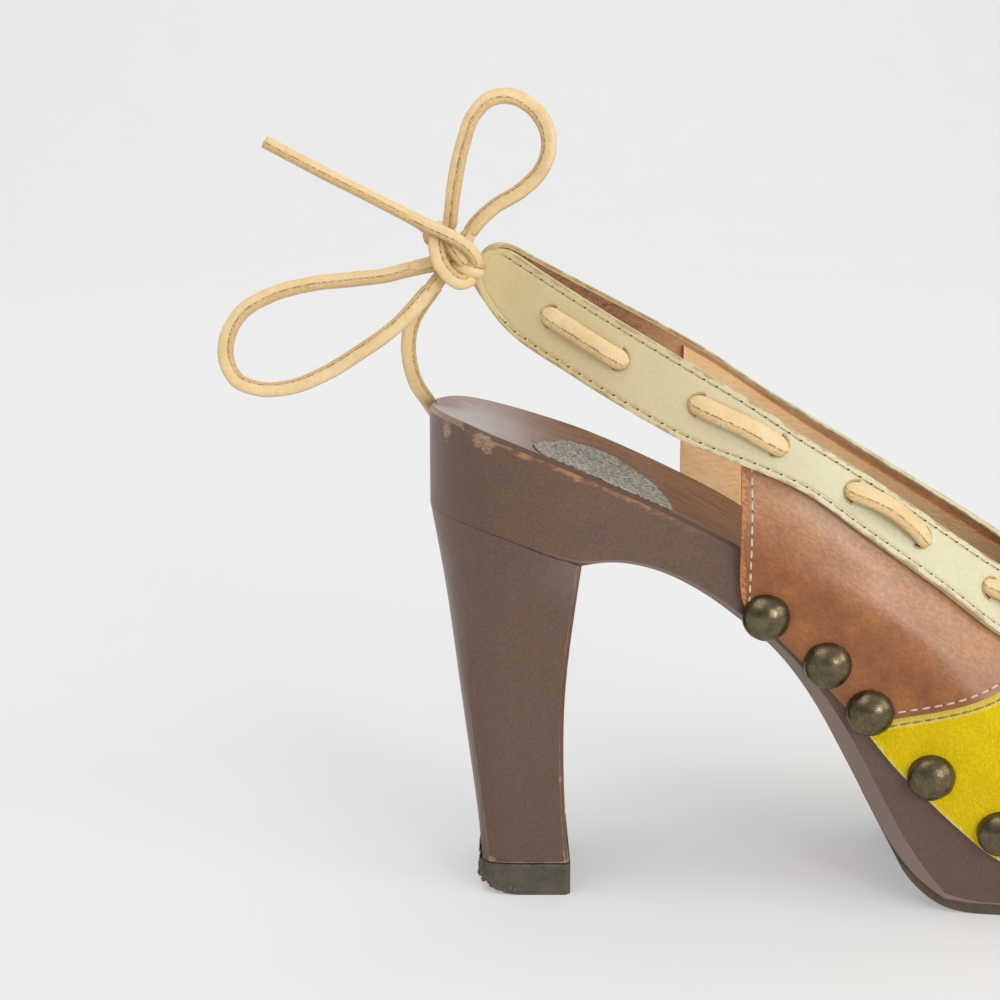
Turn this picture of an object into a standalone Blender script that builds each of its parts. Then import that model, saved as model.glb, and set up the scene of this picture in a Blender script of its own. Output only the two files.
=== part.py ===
"""Slingback clog for the right foot.

A carved wooden sole on a block heel carries a hollow leather upper that is nailed to its sides
with dome studs. A laced band runs round the topline, goes on as the sling behind the foot, and
its lace is tied in a bow at the back.

Sizes are in millimetres: x runs from the back of the seat to the toe, y is sideways with the
outer (lateral) side negative, and z is the height over the floor.
"""
import math

import bmesh
import bpy
import numpy as np
from mathutils import Matrix, Vector

MM = 0.001

# Driving sizes of the sole.
SHOE_LENGTH = 212.0
BREAST_X = 35.5
SEAT_ROUND = 24.0
TOE_ROUND = 49.0
TOE_TIP_Y = 6.0
EDGE_ROUND = 1.0
FOOTBED_DISH = 2.0
DISH_WIDTH = 0.55
OUTSOLE_THICK = 2.5
OUTSOLE_START_X = 111.0
OUTSOLE_INSET = 0.6
TIP_HEIGHT = 7.7
TIP_PROUD = 0.4

# Driving sizes of the leather and the lace.
GAP = 0.3
UPPER_WALL = 1.6
UPPER_UNDER_BAND = 0.8
BAND_THICK = 1.8
QUARTER_BACK_X = {"lateral": 71.0, "medial": 63.0}
QUARTER_LEAN = 0.15
SOLE_HANDLE = 0.38
BAND_HANDLE = 0.33
STUD_RADIUS = 5.5
STUD_HEIGHT = 4.2
LACE_WIDTH = 4.3
LACE_THICK = 2.2
BAR_LENGTH = 23.5
BAR_HEIGHT_ON_BAND = 0.55

# How finely the curved solids are cut.
STATION_STEP = 6.0
UPPER_STEP = 4.6
SEAT_STEPS = 7
TOE_STEPS = 12
QUARTER_STEPS = 6
BAR_STEPS = 6
CORD_STEP = 9.0

SIDES = ("lateral", "medial")
SIGN = {"lateral": -1.0, "medial": 1.0}


class Table:
    """Rows with named columns, read as a smooth curve over the first column."""

    def __init__(self, columns, rows):
        self.columns = columns
        self.data = {name: np.array(values, float) for name, values in zip(columns, zip(*rows))}

    def at(self, name, x):
        return smooth(self.data[self.columns[0]], self.data[name], x)


def named_rows(columns, rows):
    return [dict(zip(columns, row)) for row in rows]


def smooth(knots, values, at):
    """Monotone cubic through the knots: a flat run stays flat and nothing overshoots."""
    spans = np.diff(knots)
    slopes = np.diff(values) / spans
    tangents = np.concatenate(([slopes[0]], np.zeros(len(slopes) - 1), [slopes[-1]]))
    for i in range(1, len(slopes)):
        if slopes[i - 1] * slopes[i] > 0:
            first = 2 * spans[i] + spans[i - 1]
            second = spans[i] + 2 * spans[i - 1]
            tangents[i] = (first + second) / (first / slopes[i - 1] + second / slopes[i])
    i = int(np.clip(np.searchsorted(knots, at) - 1, 0, len(spans) - 1))
    t = (at - knots[i]) / spans[i]
    start = values[i] * (1 + 2 * t) * (1 - t) ** 2 + values[i + 1] * t * t * (3 - 2 * t)
    return start + spans[i] * (tangents[i] * t * (1 - t) ** 2 + tangents[i + 1] * t * t * (t - 1))


# Side view of the board: height of the footbed's outer edge and of the underside, and how much
# higher the footbed's inner edge is, to carry the arch of the foot.
PROFILE = Table(
    ("x", "footbed", "underside", "arch_rise"),
    (
        (0, 116.9, 93.6, 0.0),
        (5, 116.3, 93.0, 0.0),
        (10, 114.9, 92.0, 0.0),
        (22, 110.9, 88.7, 0.4),
        (BREAST_X, 105.3, 83.9, 1.8),
        (42, 102.4, 84.9, 2.2),
        (50, 98.8, 83.6, 2.4),
        (62, 93.0, 78.2, 2.6),
        (72, 87.7, 70.7, 2.8),
        (80, 82.8, 63.9, 2.8),
        (90, 75.2, 50.2, 2.3),
        (100, 66.0, 31.2, 1.5),
        (110, 55.2, 13.0, 0.7),
        (118, 46.6, 4.9, 0.2),
        (124, 40.9, OUTSOLE_THICK + GAP, 0.0),
        (132, 34.2, OUTSOLE_THICK + GAP, 0.0),
        (145, 28.6, OUTSOLE_THICK + GAP, 0.0),
        (165, 27.0, OUTSOLE_THICK + GAP, 0.0),
        (185, 28.0, 5.0, 0.0),
        (200, 30.5, 9.0, 0.0),
        (SHOE_LENGTH, 33.5, 13.5, 0.0),
    ),
)

# Plan of the footbed: width on each side of the heel's middle line, before the ends are rounded.
PLAN = Table(
    ("x", "lateral", "medial"),
    (
        (0, 29.6, 29.6),
        (BREAST_X, 29.4, 29.4),
        (50, 28.8, 28.4),
        (72, 28.7, 27.3),
        (90, 29.5, 28.0),
        (110, 31.0, 31.2),
        (132, 33.5, 36.0),
        (145, 35.2, 38.3),
        (165, 36.0, 39.8),
        (185, 34.5, 39.5),
        (SHOE_LENGTH, 29.0, 37.0),
    ),
)

# The board's side leans in by taper at its foot, and a chamfer cuts the edge below that.
EDGE = Table(
    ("x", "taper", "chamfer_in", "chamfer_up"),
    (
        (0, 0.0, 0.0, 0.6),
        (BREAST_X, 0.0, 0.3, 0.6),
        (62, 0.0, 1.0, 1.2),
        (80, 0.3, 1.9, 2.4),
        (90, 0.5, 3.0, 5.0),
        (100, 0.8, 4.0, 8.5),
        (110, 1.4, 3.6, 7.5),
        (118, 2.4, 2.0, 3.2),
        (124, 3.0, 0.7, 0.8),
        (132, 3.4, 0.5, 0.6),
        (SHOE_LENGTH, 3.4, 0.5, 0.6),
    ),
)

# How far the upper's nailed margin reaches down the board's side, below the footbed's edge.
MARGIN = Table(
    ("x", "depth"),
    (
        (60, 12.5),
        (71, 13.4),
        (85, 16.6),
        (100, 19.6),
        (108, 20.8),
        (117, 19.8),
        (131, 19.2),
        (145, 16.6),
        (165, 15.4),
        (SHOE_LENGTH, 15.4),
    ),
)

# Thickness of the outsole, skived thin where it starts under the arch.
OUTSOLE = Table(
    ("x", "thick"),
    ((OUTSOLE_START_X, 0.8), (124, OUTSOLE_THICK), (SHOE_LENGTH, OUTSOLE_THICK)),
)

# Block heel by height: its back and front in the side view, half of its width, the length of its
# rounded back, and how square that back is (2 is an ellipse).
HEEL = Table(
    ("z", "back", "front", "half_width", "round", "square"),
    (
        (TIP_HEIGHT + GAP, 12.4, 33.5, 17.2, 14.0, 7.0),
        (18, 11.3, 32.6, 18.2, 14.5, 6.4),
        (36, 8.9, 31.8, 20.2, 16.0, 5.2),
        (54, 6.4, 32.0, 22.8, 18.5, 4.0),
        (73, 4.0, 34.2, 25.9, 21.5, 2.9),
        (93.6, 0.0, BREAST_X, 29.6, SEAT_ROUND, 2.0),
    ),
)

# Topline from the back end of the band to the middle of the throat, on the lining side of the
# leather: the band's lower edge, its top edge, the place on the sole that the section stands
# on, and how much higher the medial side is.
TOPLINE_ROWS = named_rows(
    ("sole_x", "low_x", "low_y", "low_z", "top_x", "top_y", "top_z", "medial_rise"),
    (
        (11.2, 11.2, 1.2, 145.0, 14.2, 1.0, 151.8, 0.0),
        (17.0, 17.0, 3.4, 137.4, 18.4, 2.8, 154.2, 0.6),
        (23.6, 23.6, 7.5, 132.0, 24.6, 6.8, 150.6, 1.0),
        (30.5, 30.5, 12.0, 128.0, 31.0, 10.8, 146.6, 1.4),
        (46.6, 46.6, 21.0, 118.5, 47.4, 20.0, 136.8, 2.0),
        (63.0, 63.0, 26.4, 109.9, 63.0, 25.0, 127.4, 2.6),
        (71.0, 71.0, 27.8, 107.0, 71.0, 26.4, 122.5, 2.5),
        (84.5, 84.0, 28.7, 101.2, 83.4, 27.2, 114.0, 2.3),
        (99.0, 97.3, 28.9, 91.5, 96.5, 26.3, 105.3, 2.7),
        (118.0, 115.2, 28.3, 78.1, 114.6, 23.5, 92.2, 4.4),
        (137.0, 132.0, 26.8, 65.4, 131.5, 20.0, 80.4, 5.8),
        (160.0, 148.0, 22.5, 59.4, 145.0, 15.0, 72.4, 4.4),
        (190.0, 162.0, 13.5, 57.6, 155.0, 8.5, 67.6, 1.8),
        (SHOE_LENGTH, 170.5, 0.0, 57.5, 158.5, 0.0, 65.5, 0.0),
    ),
)
THROAT_SWING = Table(("x", "y"), ((0, 0.0), (84, 0.0), (132, 1.2), (171, 2.6)))

# Dome studs: place along the sole, and depth below the footbed's edge.
STUD_ROWS = named_rows(
    ("side", "x", "depth"),
    (
        ("lateral", 77.2, 12.3),
        ("lateral", 91.4, 12.8),
        ("lateral", 101.4, 14.4),
        ("lateral", 115.8, 13.8),
        ("lateral", 132.0, 12.2),
        ("lateral", 150.0, 9.4),
        ("lateral", 168.0, 8.2),
        ("lateral", 185.5, 8.2),
        ("lateral", 199.5, 8.2),
        ("lateral", SHOE_LENGTH, 8.2),
        ("medial", 69.0, 10.0),
        ("medial", 84.0, 12.2),
        ("medial", 98.5, 14.2),
        ("medial", 113.5, 13.4),
        ("medial", 130.0, 12.2),
        ("medial", 149.0, 9.4),
        ("medial", 168.0, 8.2),
        ("medial", 185.5, 8.2),
        ("medial", 200.5, 8.2),
    ),
)

# Lace bars on the band: distance of the middle from the middle of the throat along the band,
# how far the bar stands off the band, and how far it sways towards the top edge.
BAR_ROWS = named_rows(
    ("along", "bow", "sway"),
    (
        (-159.0, 0.4, 0.3),
        (-119.7, 0.6, 0.4),
        (-80.7, 1.6, 1.6),
        (-40.5, 0.8, 0.5),
        (0.0, 0.5, 0.0),
        (40.5, 0.6, 0.4),
        (80.7, 0.7, 0.5),
        (119.7, 0.5, 0.3),
        (159.0, 0.4, 0.3),
    ),
)

# The bow behind the heel, tied from the lace's two ends: radius of each cord and its route.
KNOT_CENTRE = (5.4, 0.0, 150.0)
KNOT_HALF_SIZE = (5.4, 5.6, 6.8)
CORD_ROWS = named_rows(
    ("name", "radius", "route"),
    (
        (
            "lace_loop_upper", 2.1,
            ((5.2, -1.2, 157.4), (5.8, -1.9, 163.0), (6.6, -2.0, 169.0), (8.4, -1.6, 177.0),
             (11.0, -0.8, 183.8), (14.7, 0.2, 187.4), (19.3, 1.0, 188.1), (24.6, 1.8, 185.4),
             (27.9, 2.4, 180.4), (28.3, 2.8, 175.9), (26.3, 3.2, 170.8), (21.6, 3.4, 166.3),
             (15.8, 3.2, 162.8), (11.4, 2.6, 158.8), (9.3, 1.9, 155.9)),
        ),
        (
            "lace_loop_lower", 2.1,
            ((-0.5, -0.8, 149.1), (-4.4, -1.2, 148.4), (-9.0, -1.4, 147.2), (-17.0, -1.5, 146.2),
             (-27.6, -1.8, 145.0), (-37.0, -2.4, 142.4), (-43.5, -3.0, 138.4), (-46.7, -3.6, 133.0),
             (-47.1, -4.0, 127.5), (-44.6, -4.4, 122.8), (-39.4, -4.7, 120.8), (-32.8, -4.9, 121.1),
             (-24.4, -5.0, 124.2), (-16.1, -5.0, 129.2), (-6.5, -4.9, 136.2), (-2.0, -4.2, 140.8),
             (1.3, -2.8, 144.8)),
        ),
        (
            "lace_end_long", 1.6,
            ((2.6, -4.0, 155.2), (-0.4, -5.4, 158.6), (-4.6, -5.8, 161.2), (-10.9, -5.2, 164.4),
             (-24.7, -3.6, 171.3), (-37.1, -2.0, 177.7)),
        ),
        (
            "lace_end_short", 2.0,
            ((1.7, 2.2, 144.2), (-1.2, 3.7, 140.2), (-3.4, 4.2, 136.6), (-4.8, 4.8, 131.0),
             (-4.5, 5.8, 125.4), (-3.2, 8.2, 120.4), (-1.0, 12.0, 116.2), (1.4, 16.8, 111.6),
             (3.6, 20.6, 106.6)),
        ),
    ),
)

# Colour, roughness and metallic value of each material.
FINISHES = {
    "stained_wood": ((0.105, 0.060, 0.046, 1.0), 0.42, 0.0),
    "black_rubber": ((0.020, 0.024, 0.021, 1.0), 0.70, 0.0),
    "sole_rubber": ((0.035, 0.030, 0.028, 1.0), 0.75, 0.0),
    "yellow_suede": ((0.720, 0.590, 0.012, 1.0), 0.90, 0.0),
    "pale_leather": ((0.690, 0.640, 0.370, 1.0), 0.55, 0.0),
    "antique_brass": ((0.110, 0.095, 0.058, 1.0), 0.32, 0.9),
    "lace_leather": ((0.820, 0.610, 0.320, 1.0), 0.60, 0.0),
}


def footbed(x):
    return PROFILE.at("footbed", x)


def underside(x):
    return PROFILE.at("underside", x)


def rim_height(side, x):
    """Height of the footbed's edge on one side."""
    return footbed(x) + (PROFILE.at("arch_rise", x) if side == "medial" else 0.0)


def outline_y(side, x):
    """Half of the sole's plan with its elliptical seat and toe."""
    y = SIGN[side] * PLAN.at(side, x)
    toe_start = SHOE_LENGTH - TOE_ROUND
    if x < SEAT_ROUND:
        y *= math.sqrt(max(0.0, 1 - ((SEAT_ROUND - x) / SEAT_ROUND) ** 2))
    if x > toe_start:
        share = math.sqrt(max(0.0, 1 - ((x - toe_start) / TOE_ROUND) ** 2))
        y = TOE_TIP_Y + (y - TOE_TIP_Y) * share
    return y


def outline_normal(side, x):
    """Unit vector pointing out of the sole's plan at x."""
    reach = 0.02
    back = x - reach
    ahead = x + reach
    if back < 0:
        return Vector((-1.0, 0.0))
    if ahead > SHOE_LENGTH:
        return Vector((1.0, 0.0))
    run = Vector((ahead - back, outline_y(side, ahead) - outline_y(side, back))).normalized()
    return Vector((-run.y, run.x)) * SIGN[side]


def edge_point(side, x, inset, z):
    """Point on the sole's outline, moved in by inset, at height z."""
    normal = outline_normal(side, x)
    return Vector((x - normal.x * inset, outline_y(side, x) - normal.y * inset, z))


def side_inset(x, z):
    """How far the board's leaning side lies in from the footbed's outline at height z."""
    high = footbed(x) - EDGE_ROUND
    low = underside(x) + EDGE.at("chamfer_up", x)
    return EDGE.at("taper", x) * max(0.0, high - z) / (high - low)


def sole_stations(first_x):
    """Places along the sole from first_x to the toe, closer together at the rounded ends."""
    toe_start = SHOE_LENGTH - TOE_ROUND
    seat = [BREAST_X * (1 - math.cos(math.pi / 2 * i / SEAT_STEPS)) for i in range(SEAT_STEPS)]
    count = round((toe_start - BREAST_X) / STATION_STEP)
    waist = [BREAST_X + (toe_start - BREAST_X) * i / count for i in range(count)]
    toe = [toe_start + TOE_ROUND * math.sin(math.pi / 2 * i / TOE_STEPS) for i in range(TOE_STEPS + 1)]
    return [first_x] + [x for x in seat + waist + toe if x > first_x + 0.5]


def make_material(name):
    colour, roughness, metallic = FINISHES[name]
    material = bpy.data.materials.new(name)
    material.use_nodes = True
    shader = material.node_tree.nodes["Principled BSDF"]
    shader.inputs["Base Color"].default_value = colour
    shader.inputs["Roughness"].default_value = roughness
    shader.inputs["Metallic"].default_value = metallic
    return material


def add_object(name, data, finish, parent):
    obj = bpy.data.objects.new(name, data)
    bpy.context.collection.objects.link(obj)
    obj.parent = parent
    if not data.materials:
        data.materials.append(make_material(finish))
    return obj


def close_mesh(name, bm):
    """Merge shared corners, point the faces out and scale the solid to metres."""
    bmesh.ops.remove_doubles(bm, verts=bm.verts, dist=0.001)
    bmesh.ops.recalc_face_normals(bm, faces=bm.faces)
    if bm.calc_volume(signed=True) < 0:
        bmesh.ops.reverse_faces(bm, faces=bm.faces)
    bmesh.ops.scale(bm, vec=Vector((MM, MM, MM)), verts=bm.verts)
    mesh = bpy.data.meshes.new(name)
    bm.to_mesh(mesh)
    bm.free()
    mesh.shade_smooth()
    mesh.set_sharp_from_angle(angle=math.radians(40))
    return mesh


def add_face(bm, corners):
    """Make a face, leaving out corners that fall on one another at a rounded end."""
    kept = []
    for vert in corners:
        if all((vert.co - other.co).length > 0.001 for other in kept):
            kept.append(vert)
    if len(kept) > 2:
        bm.faces.new(kept)


def stack_solid(name, rings, top_columns=()):
    """Solid from stacked rings, each a lateral and a medial row of points from back to front.

    top_columns are rows of points that run along the top between its two edges.
    """
    bm = bmesh.new()
    rows = [[[bm.verts.new(point) for point in row] for row in ring] for ring in rings]
    last = len(rings[0][0]) - 1
    for low, high in zip(rows, rows[1:]):
        for side in (0, 1):
            for i in range(last):
                add_face(bm, (low[side][i], low[side][i + 1], high[side][i + 1], high[side][i]))
        for i in (0, last):
            add_face(bm, (low[0][i], low[1][i], high[1][i], high[0][i]))
    columns = [[bm.verts.new(point) for point in row] for row in top_columns]
    across_top = [rows[-1][0]] + columns + [rows[-1][1]]
    for across in (rows[0], across_top):
        for one, other in zip(across, across[1:]):
            for i in range(last):
                add_face(bm, (one[i], one[i + 1], other[i + 1], other[i]))
    return close_mesh(name, bm)


def sheet_solid(name, inner, outer):
    """Closed wall between two grids of points with the same rows and columns."""
    bm = bmesh.new()
    grids = [[[bm.verts.new(point) for point in row] for row in grid] for grid in (inner, outer)]
    last_row = len(inner) - 1
    last_column = len(inner[0]) - 1
    for grid in grids:
        for i in range(last_row):
            for j in range(last_column):
                bm.faces.new((grid[i][j], grid[i][j + 1], grid[i + 1][j + 1], grid[i + 1][j]))
    near, far = grids
    for i in range(last_row):
        for j in (0, last_column):
            bm.faces.new((near[i][j], near[i + 1][j], far[i + 1][j], far[i][j]))
    for j in range(last_column):
        for i in (0, last_row):
            bm.faces.new((near[i][j], near[i][j + 1], far[i][j + 1], far[i][j]))
    return close_mesh(name, bm)


def sole_board():
    """Carved board: underside, chamfer, leaning side, rounded edge and dished footbed."""
    stations = sole_stations(0.0)

    def ring(inset, height):
        return [[edge_point(side, x, inset(x), height(side, x)) for x in stations] for side in SIDES]

    def dish_row(share):
        row = []
        for i in range(len(stations)):
            point = top[0][i].lerp(top[1][i], 0.5 + share / 2)
            width = (top[1][i] - top[0][i]).length
            point.z -= FOOTBED_DISH * min(1.0, width / PLAN.at("medial", stations[i]))
            row.append(point)
        return row

    bottom = ring(lambda x: EDGE.at("taper", x) + EDGE.at("chamfer_in", x), lambda side, x: underside(x))
    low = ring(lambda x: EDGE.at("taper", x), lambda side, x: underside(x) + EDGE.at("chamfer_up", x))
    high = ring(lambda x: 0.0, lambda side, x: rim_height(side, x) - EDGE_ROUND)
    top = ring(lambda x: EDGE_ROUND, rim_height)
    dish = [dish_row(-DISH_WIDTH), dish_row(DISH_WIDTH)]
    return stack_solid("sole_board", (bottom, low, high, top), dish)


def heel_ring(z, proud, follow_board):
    """D-shaped section of the heel at height z, or along the board's underside at the top."""
    back = HEEL.at("back", z) - proud
    front = HEEL.at("front", z) + proud
    half = HEEL.at("half_width", z) + proud
    round_length = HEEL.at("round", z)
    square = HEEL.at("square", z)
    ring = []
    for side in SIDES:
        row = []
        for i in range(SEAT_STEPS + 1):
            x = back + (front - back) * (1 - math.cos(math.pi / 2 * i / SEAT_STEPS))
            ahead = max(0.0, 1 - (x - back) / round_length)
            height = underside(x) - GAP if follow_board else z
            row.append(Vector((x, SIGN[side] * half * (1 - ahead ** square) ** (1 / square), height)))
        ring.append(row)
    return ring


def heel_block():
    heights = HEEL.data["z"][:-1]
    middle = [heel_ring(z, 0.0, False) for z in heights]
    return stack_solid("heel_block", middle + [heel_ring(HEEL.data["z"][-1], 0.0, True)])


def heel_tip():
    base = HEEL.data["z"][0]
    rings = []
    for z in (0.0, TIP_HEIGHT):
        ring = heel_ring(base, TIP_PROUD, False)
        rings.append([[Vector((p.x, p.y, z)) for p in row] for row in ring])
    return stack_solid("heel_tip", rings)


def outsole():
    """Thin sole under the forefoot, bent along the board's underside."""
    top = ([], [])
    bottom = ([], [])
    for x in sole_stations(OUTSOLE_START_X):
        reach = 0.5
        ahead = min(x + reach, SHOE_LENGTH)
        fall = (underside(ahead) - underside(x - reach)) / (ahead - x + reach)
        down = Vector((fall, 0.0, -1.0)).normalized()
        inset = EDGE.at("taper", x) + EDGE.at("chamfer_in", x) + OUTSOLE_INSET
        for side, upper_row, lower_row in zip(SIDES, top, bottom):
            point = edge_point(side, x, inset, underside(x))
            upper_row.append(point + down * GAP)
            lower_row.append(point + down * (GAP + OUTSOLE.at("thick", x)))
    return stack_solid("outsole", (bottom, top))


class Topline:
    """The band's two edges round the whole shoe, as smooth curves of one running length."""

    def __init__(self):
        lateral = [dict(row, sign=-1.0) for row in TOPLINE_ROWS]
        medial = [dict(row, sign=1.0) for row in lateral[:-1]]
        rows = lateral + medial[::-1]
        self.columns = {"sole_x": np.array([row["sole_x"] for row in rows])}
        for edge in ("low", "top"):
            rise = np.array([row["medial_rise"] * (row["sign"] > 0) for row in rows])
            self.columns[edge + "_x"] = np.array([row[edge + "_x"] for row in rows])
            swing = np.array([THROAT_SWING.at("y", row[edge + "_x"]) for row in rows])
            across = np.array([row["sign"] * row[edge + "_y"] for row in rows])
            self.columns[edge + "_y"] = across + swing
            self.columns[edge + "_z"] = np.array([row[edge + "_z"] for row in rows]) + rise
        self.knots = self.running_length(len(lateral) - 1)
        self.front = self.knots[len(lateral) - 1]

    def running_length(self, front_row):
        """Longer of the steps along the top edge and along the sole, added up."""
        total = [0.0]
        for i in range(1, len(self.columns["sole_x"])):
            tops = [self.columns["top_" + axis] for axis in "xyz"]
            edge = Vector([top[i] - top[i - 1] for top in tops])
            side = SIDES[0] if i <= front_row else SIDES[1]
            x, before = self.columns["sole_x"][i], self.columns["sole_x"][i - 1]
            on_sole = edge_point(side, x, 0, footbed(x)) - edge_point(side, before, 0, footbed(before))
            nailed = min(x, before) >= QUARTER_BACK_X["medial"]
            total.append(total[-1] + max(edge.length, on_sole.length if nailed else 0.0))
        return np.array(total)

    def at(self, name, place):
        return smooth(self.knots, self.columns[name], place)

    def point(self, edge, place):
        return Vector([self.at(edge + "_" + axis, place) for axis in "xyz"])

    def across(self, place, share):
        """Point on the leather between the band's lower edge and its top edge."""
        return self.point("low", place).lerp(self.point("top", place), share)

    def outward(self, place, share):
        reach = 0.5
        along = self.across(place + reach, share) - self.across(place - reach, share)
        up = self.point("top", place) - self.point("low", place)
        return up.cross(along).normalized() * -1.0

    def place_of(self, side, x):
        """Running length at which the top edge stands over x on the given side."""
        low, high = (0.0, self.front) if side == "lateral" else (self.knots[-1], self.front)
        for _ in range(40):
            middle = (low + high) / 2
            if self.at("top_x", middle) < x:
                low = middle
            else:
                high = middle
        return (low + high) / 2


def upper_section(topline, place):
    """Lining side of the upper, from its nailed lower edge up to its edge under the band."""
    side = "lateral" if place <= topline.front else "medial"
    x = topline.at("sole_x", place)
    low_z = footbed(x) - MARGIN.at("depth", x)
    nailed = edge_point(side, x, side_inset(x, low_z) - GAP, low_z)
    rim = edge_point(side, x, -GAP, footbed(x))
    band_low = topline.point("low", place)
    band_top = topline.point("top", place)
    normal = outline_normal(side, x)
    rise = Vector((normal.x * QUARTER_LEAN, normal.y * QUARTER_LEAN, 1.0)).normalized()
    distance = (band_low - rim).length
    rim_handle = rim + rise * SOLE_HANDLE * distance
    band_handle = band_low + (band_low - band_top).normalized() * BAND_HANDLE * distance
    points = [nailed]
    for i in range(QUARTER_STEPS + 1):
        t = i / QUARTER_STEPS
        points.append(
            rim * (1 - t) ** 3 + rim_handle * 3 * t * (1 - t) ** 2
            + band_handle * 3 * t * t * (1 - t) + band_low * t ** 3
        )
    points.append(topline.across(place, UPPER_UNDER_BAND))
    return points


def grid_normals(grid):
    """Unit normals of a grid of points, from its neighbours."""
    last_row = len(grid) - 1
    last_column = len(grid[0]) - 1
    normals = []
    for i in range(last_row + 1):
        row = []
        for j in range(last_column + 1):
            along = grid[min(i + 1, last_row)][j] - grid[max(i - 1, 0)][j]
            up = grid[i][min(j + 1, last_column)] - grid[i][max(j - 1, 0)]
            row.append(along.cross(up).normalized())
        normals.append(row)
    return normals


def upper_places(topline):
    start = topline.place_of("lateral", QUARTER_BACK_X["lateral"])
    end = topline.place_of("medial", QUARTER_BACK_X["medial"])
    count = round((end - start) / UPPER_STEP)
    return [start + (end - start) * i / count for i in range(count + 1)]


def upper(topline):
    inner = [upper_section(topline, place) for place in upper_places(topline)]
    normals = grid_normals(inner)
    outer = [[p + n * UPPER_WALL for p, n in zip(*pair)] for pair in zip(inner, normals)]
    return sheet_solid("upper", inner, outer)


def band(topline):
    """Band round the topline, free behind the quarters, a gap outside the upper."""
    places = upper_places(topline)
    sling_count = round(places[0] / STATION_STEP)
    end = topline.knots[-1]
    rear = [places[0] * i / sling_count for i in range(sling_count)]
    ahead = [end - (end - places[-1]) * i / sling_count for i in range(sling_count)]
    inner = []
    outer = []
    for place in rear + places + ahead[::-1]:
        shares = (0.0, 0.5, 1.0)
        lining = [topline.across(place, share) for share in shares]
        outward = [topline.outward(place, share) for share in shares]
        inner.append([p + n * (UPPER_WALL + GAP) for p, n in zip(lining, outward)])
        outer.append([p + n * (UPPER_WALL + GAP + BAND_THICK) for p, n in zip(lining, outward)])
    return sheet_solid("band", inner, outer)


def lace_bar(topline, name, along, bow, sway):
    """One visible stretch of the lace: a flat strap on the band with its ends drawn in."""
    step = 0.5
    places = np.arange(0.0, topline.knots[-1], step)
    middle = [topline.across(place, BAR_HEIGHT_ON_BAND) for place in places]
    lengths = np.cumsum([0.0] + [(b - a).length for a, b in zip(middle, middle[1:])])
    front = np.interp(topline.front, places, lengths)
    rows = []
    for i in range(BAR_STEPS + 1):
        share = i / BAR_STEPS
        swell = math.sin(math.pi * share)
        length = front + along + (share - 0.5) * BAR_LENGTH
        place = np.interp(length, lengths, places)
        up = (topline.point("top", place) - topline.point("low", place)).normalized()
        outward = topline.outward(place, BAR_HEIGHT_ON_BAND)
        stand = UPPER_WALL + 2 * GAP + BAND_THICK + bow * swell
        foot = topline.across(place, BAR_HEIGHT_ON_BAND) + outward * stand + up * sway * swell
        half = LACE_WIDTH / 2 * (0.6 + 0.4 * min(1.0, 2 * swell))
        shape = ((-1, 0.0), (1, 0.0), (1, 0.6), (0.55, 1.0), (-0.55, 1.0), (-1, 0.6))
        rows.append([foot + up * half * a + outward * LACE_THICK * b for a, b in shape])
    bm = bmesh.new()
    rings = [[bm.verts.new(point) for point in row] for row in rows]
    for ring, following in zip(rings, rings[1:]):
        for j in range(len(ring)):
            k = (j + 1) % len(ring)
            bm.faces.new((ring[j], ring[k], following[k], following[j]))
    bm.faces.new(rings[0])
    bm.faces.new(rings[-1])
    return close_mesh(name, bm)


def stud_mesh():
    """Dome of a stud, spun round +Z with its flat back at the origin."""
    bm = bmesh.new()
    arc = [math.radians(angle) for angle in (0, 30, 60, 90)]
    profile = [bm.verts.new((STUD_RADIUS * math.cos(a), 0, STUD_HEIGHT * math.sin(a))) for a in arc]
    edges = [bm.edges.new(pair) for pair in zip(profile, profile[1:])]
    bmesh.ops.spin(
        bm, geom=profile + edges, cent=(0, 0, 0), axis=(0, 0, 1), angle=math.tau, steps=12,
        use_merge=True, use_duplicate=False,
    )
    bmesh.ops.remove_doubles(bm, verts=bm.verts, dist=0.001)
    rim = [edge for edge in bm.edges if edge.is_boundary]
    bmesh.ops.contextual_create(bm, geom=rim)
    return close_mesh("stud", bm)


def stud_matrix(side, x, depth):
    """Place of a stud on the outside of the upper's margin, facing out."""
    z = footbed(x) - depth
    lean = side_inset(x, z - 1.0) - side_inset(x, z)
    normal = outline_normal(side, x)
    point = edge_point(side, x, side_inset(x, z) - 2 * GAP - UPPER_WALL, z)
    turn = Vector((normal.x, normal.y, -lean)).to_track_quat("Z", "Y").to_matrix().to_4x4()
    return Matrix.Translation(point * MM) @ turn


def knot_mesh():
    bm = bmesh.new()
    bmesh.ops.create_icosphere(bm, subdivisions=2, radius=1.0)
    bmesh.ops.scale(bm, vec=Vector(KNOT_HALF_SIZE), verts=bm.verts)
    bmesh.ops.translate(bm, vec=Vector(KNOT_CENTRE), verts=bm.verts)
    return close_mesh("lace_knot", bm)


def cord_points(route):
    """Points at even steps along a smooth curve through the route's own points."""
    points = [np.array(point) for point in route]
    knots = np.cumsum([0.0] + [float(np.linalg.norm(b - a)) for a, b in zip(points, points[1:])])
    count = max(4, round(knots[-1] / CORD_STEP))
    columns = [np.array([point[axis] for point in points]) for axis in range(3)]
    return [
        [smooth(knots, column, knots[-1] * i / count) for column in columns] for i in range(count + 1)
    ]


def cord_curve(name, radius, route):
    curve = bpy.data.curves.new(name, "CURVE")
    curve.dimensions = "3D"
    curve.bevel_depth = radius * MM
    curve.bevel_resolution = 2
    curve.use_fill_caps = True
    points = cord_points(route)
    spline = curve.splines.new("POLY")
    spline.points.add(len(points) - 1)
    for target, point in zip(spline.points, points):
        target.co = (*(value * MM for value in point), 1.0)
    return curve


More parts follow.
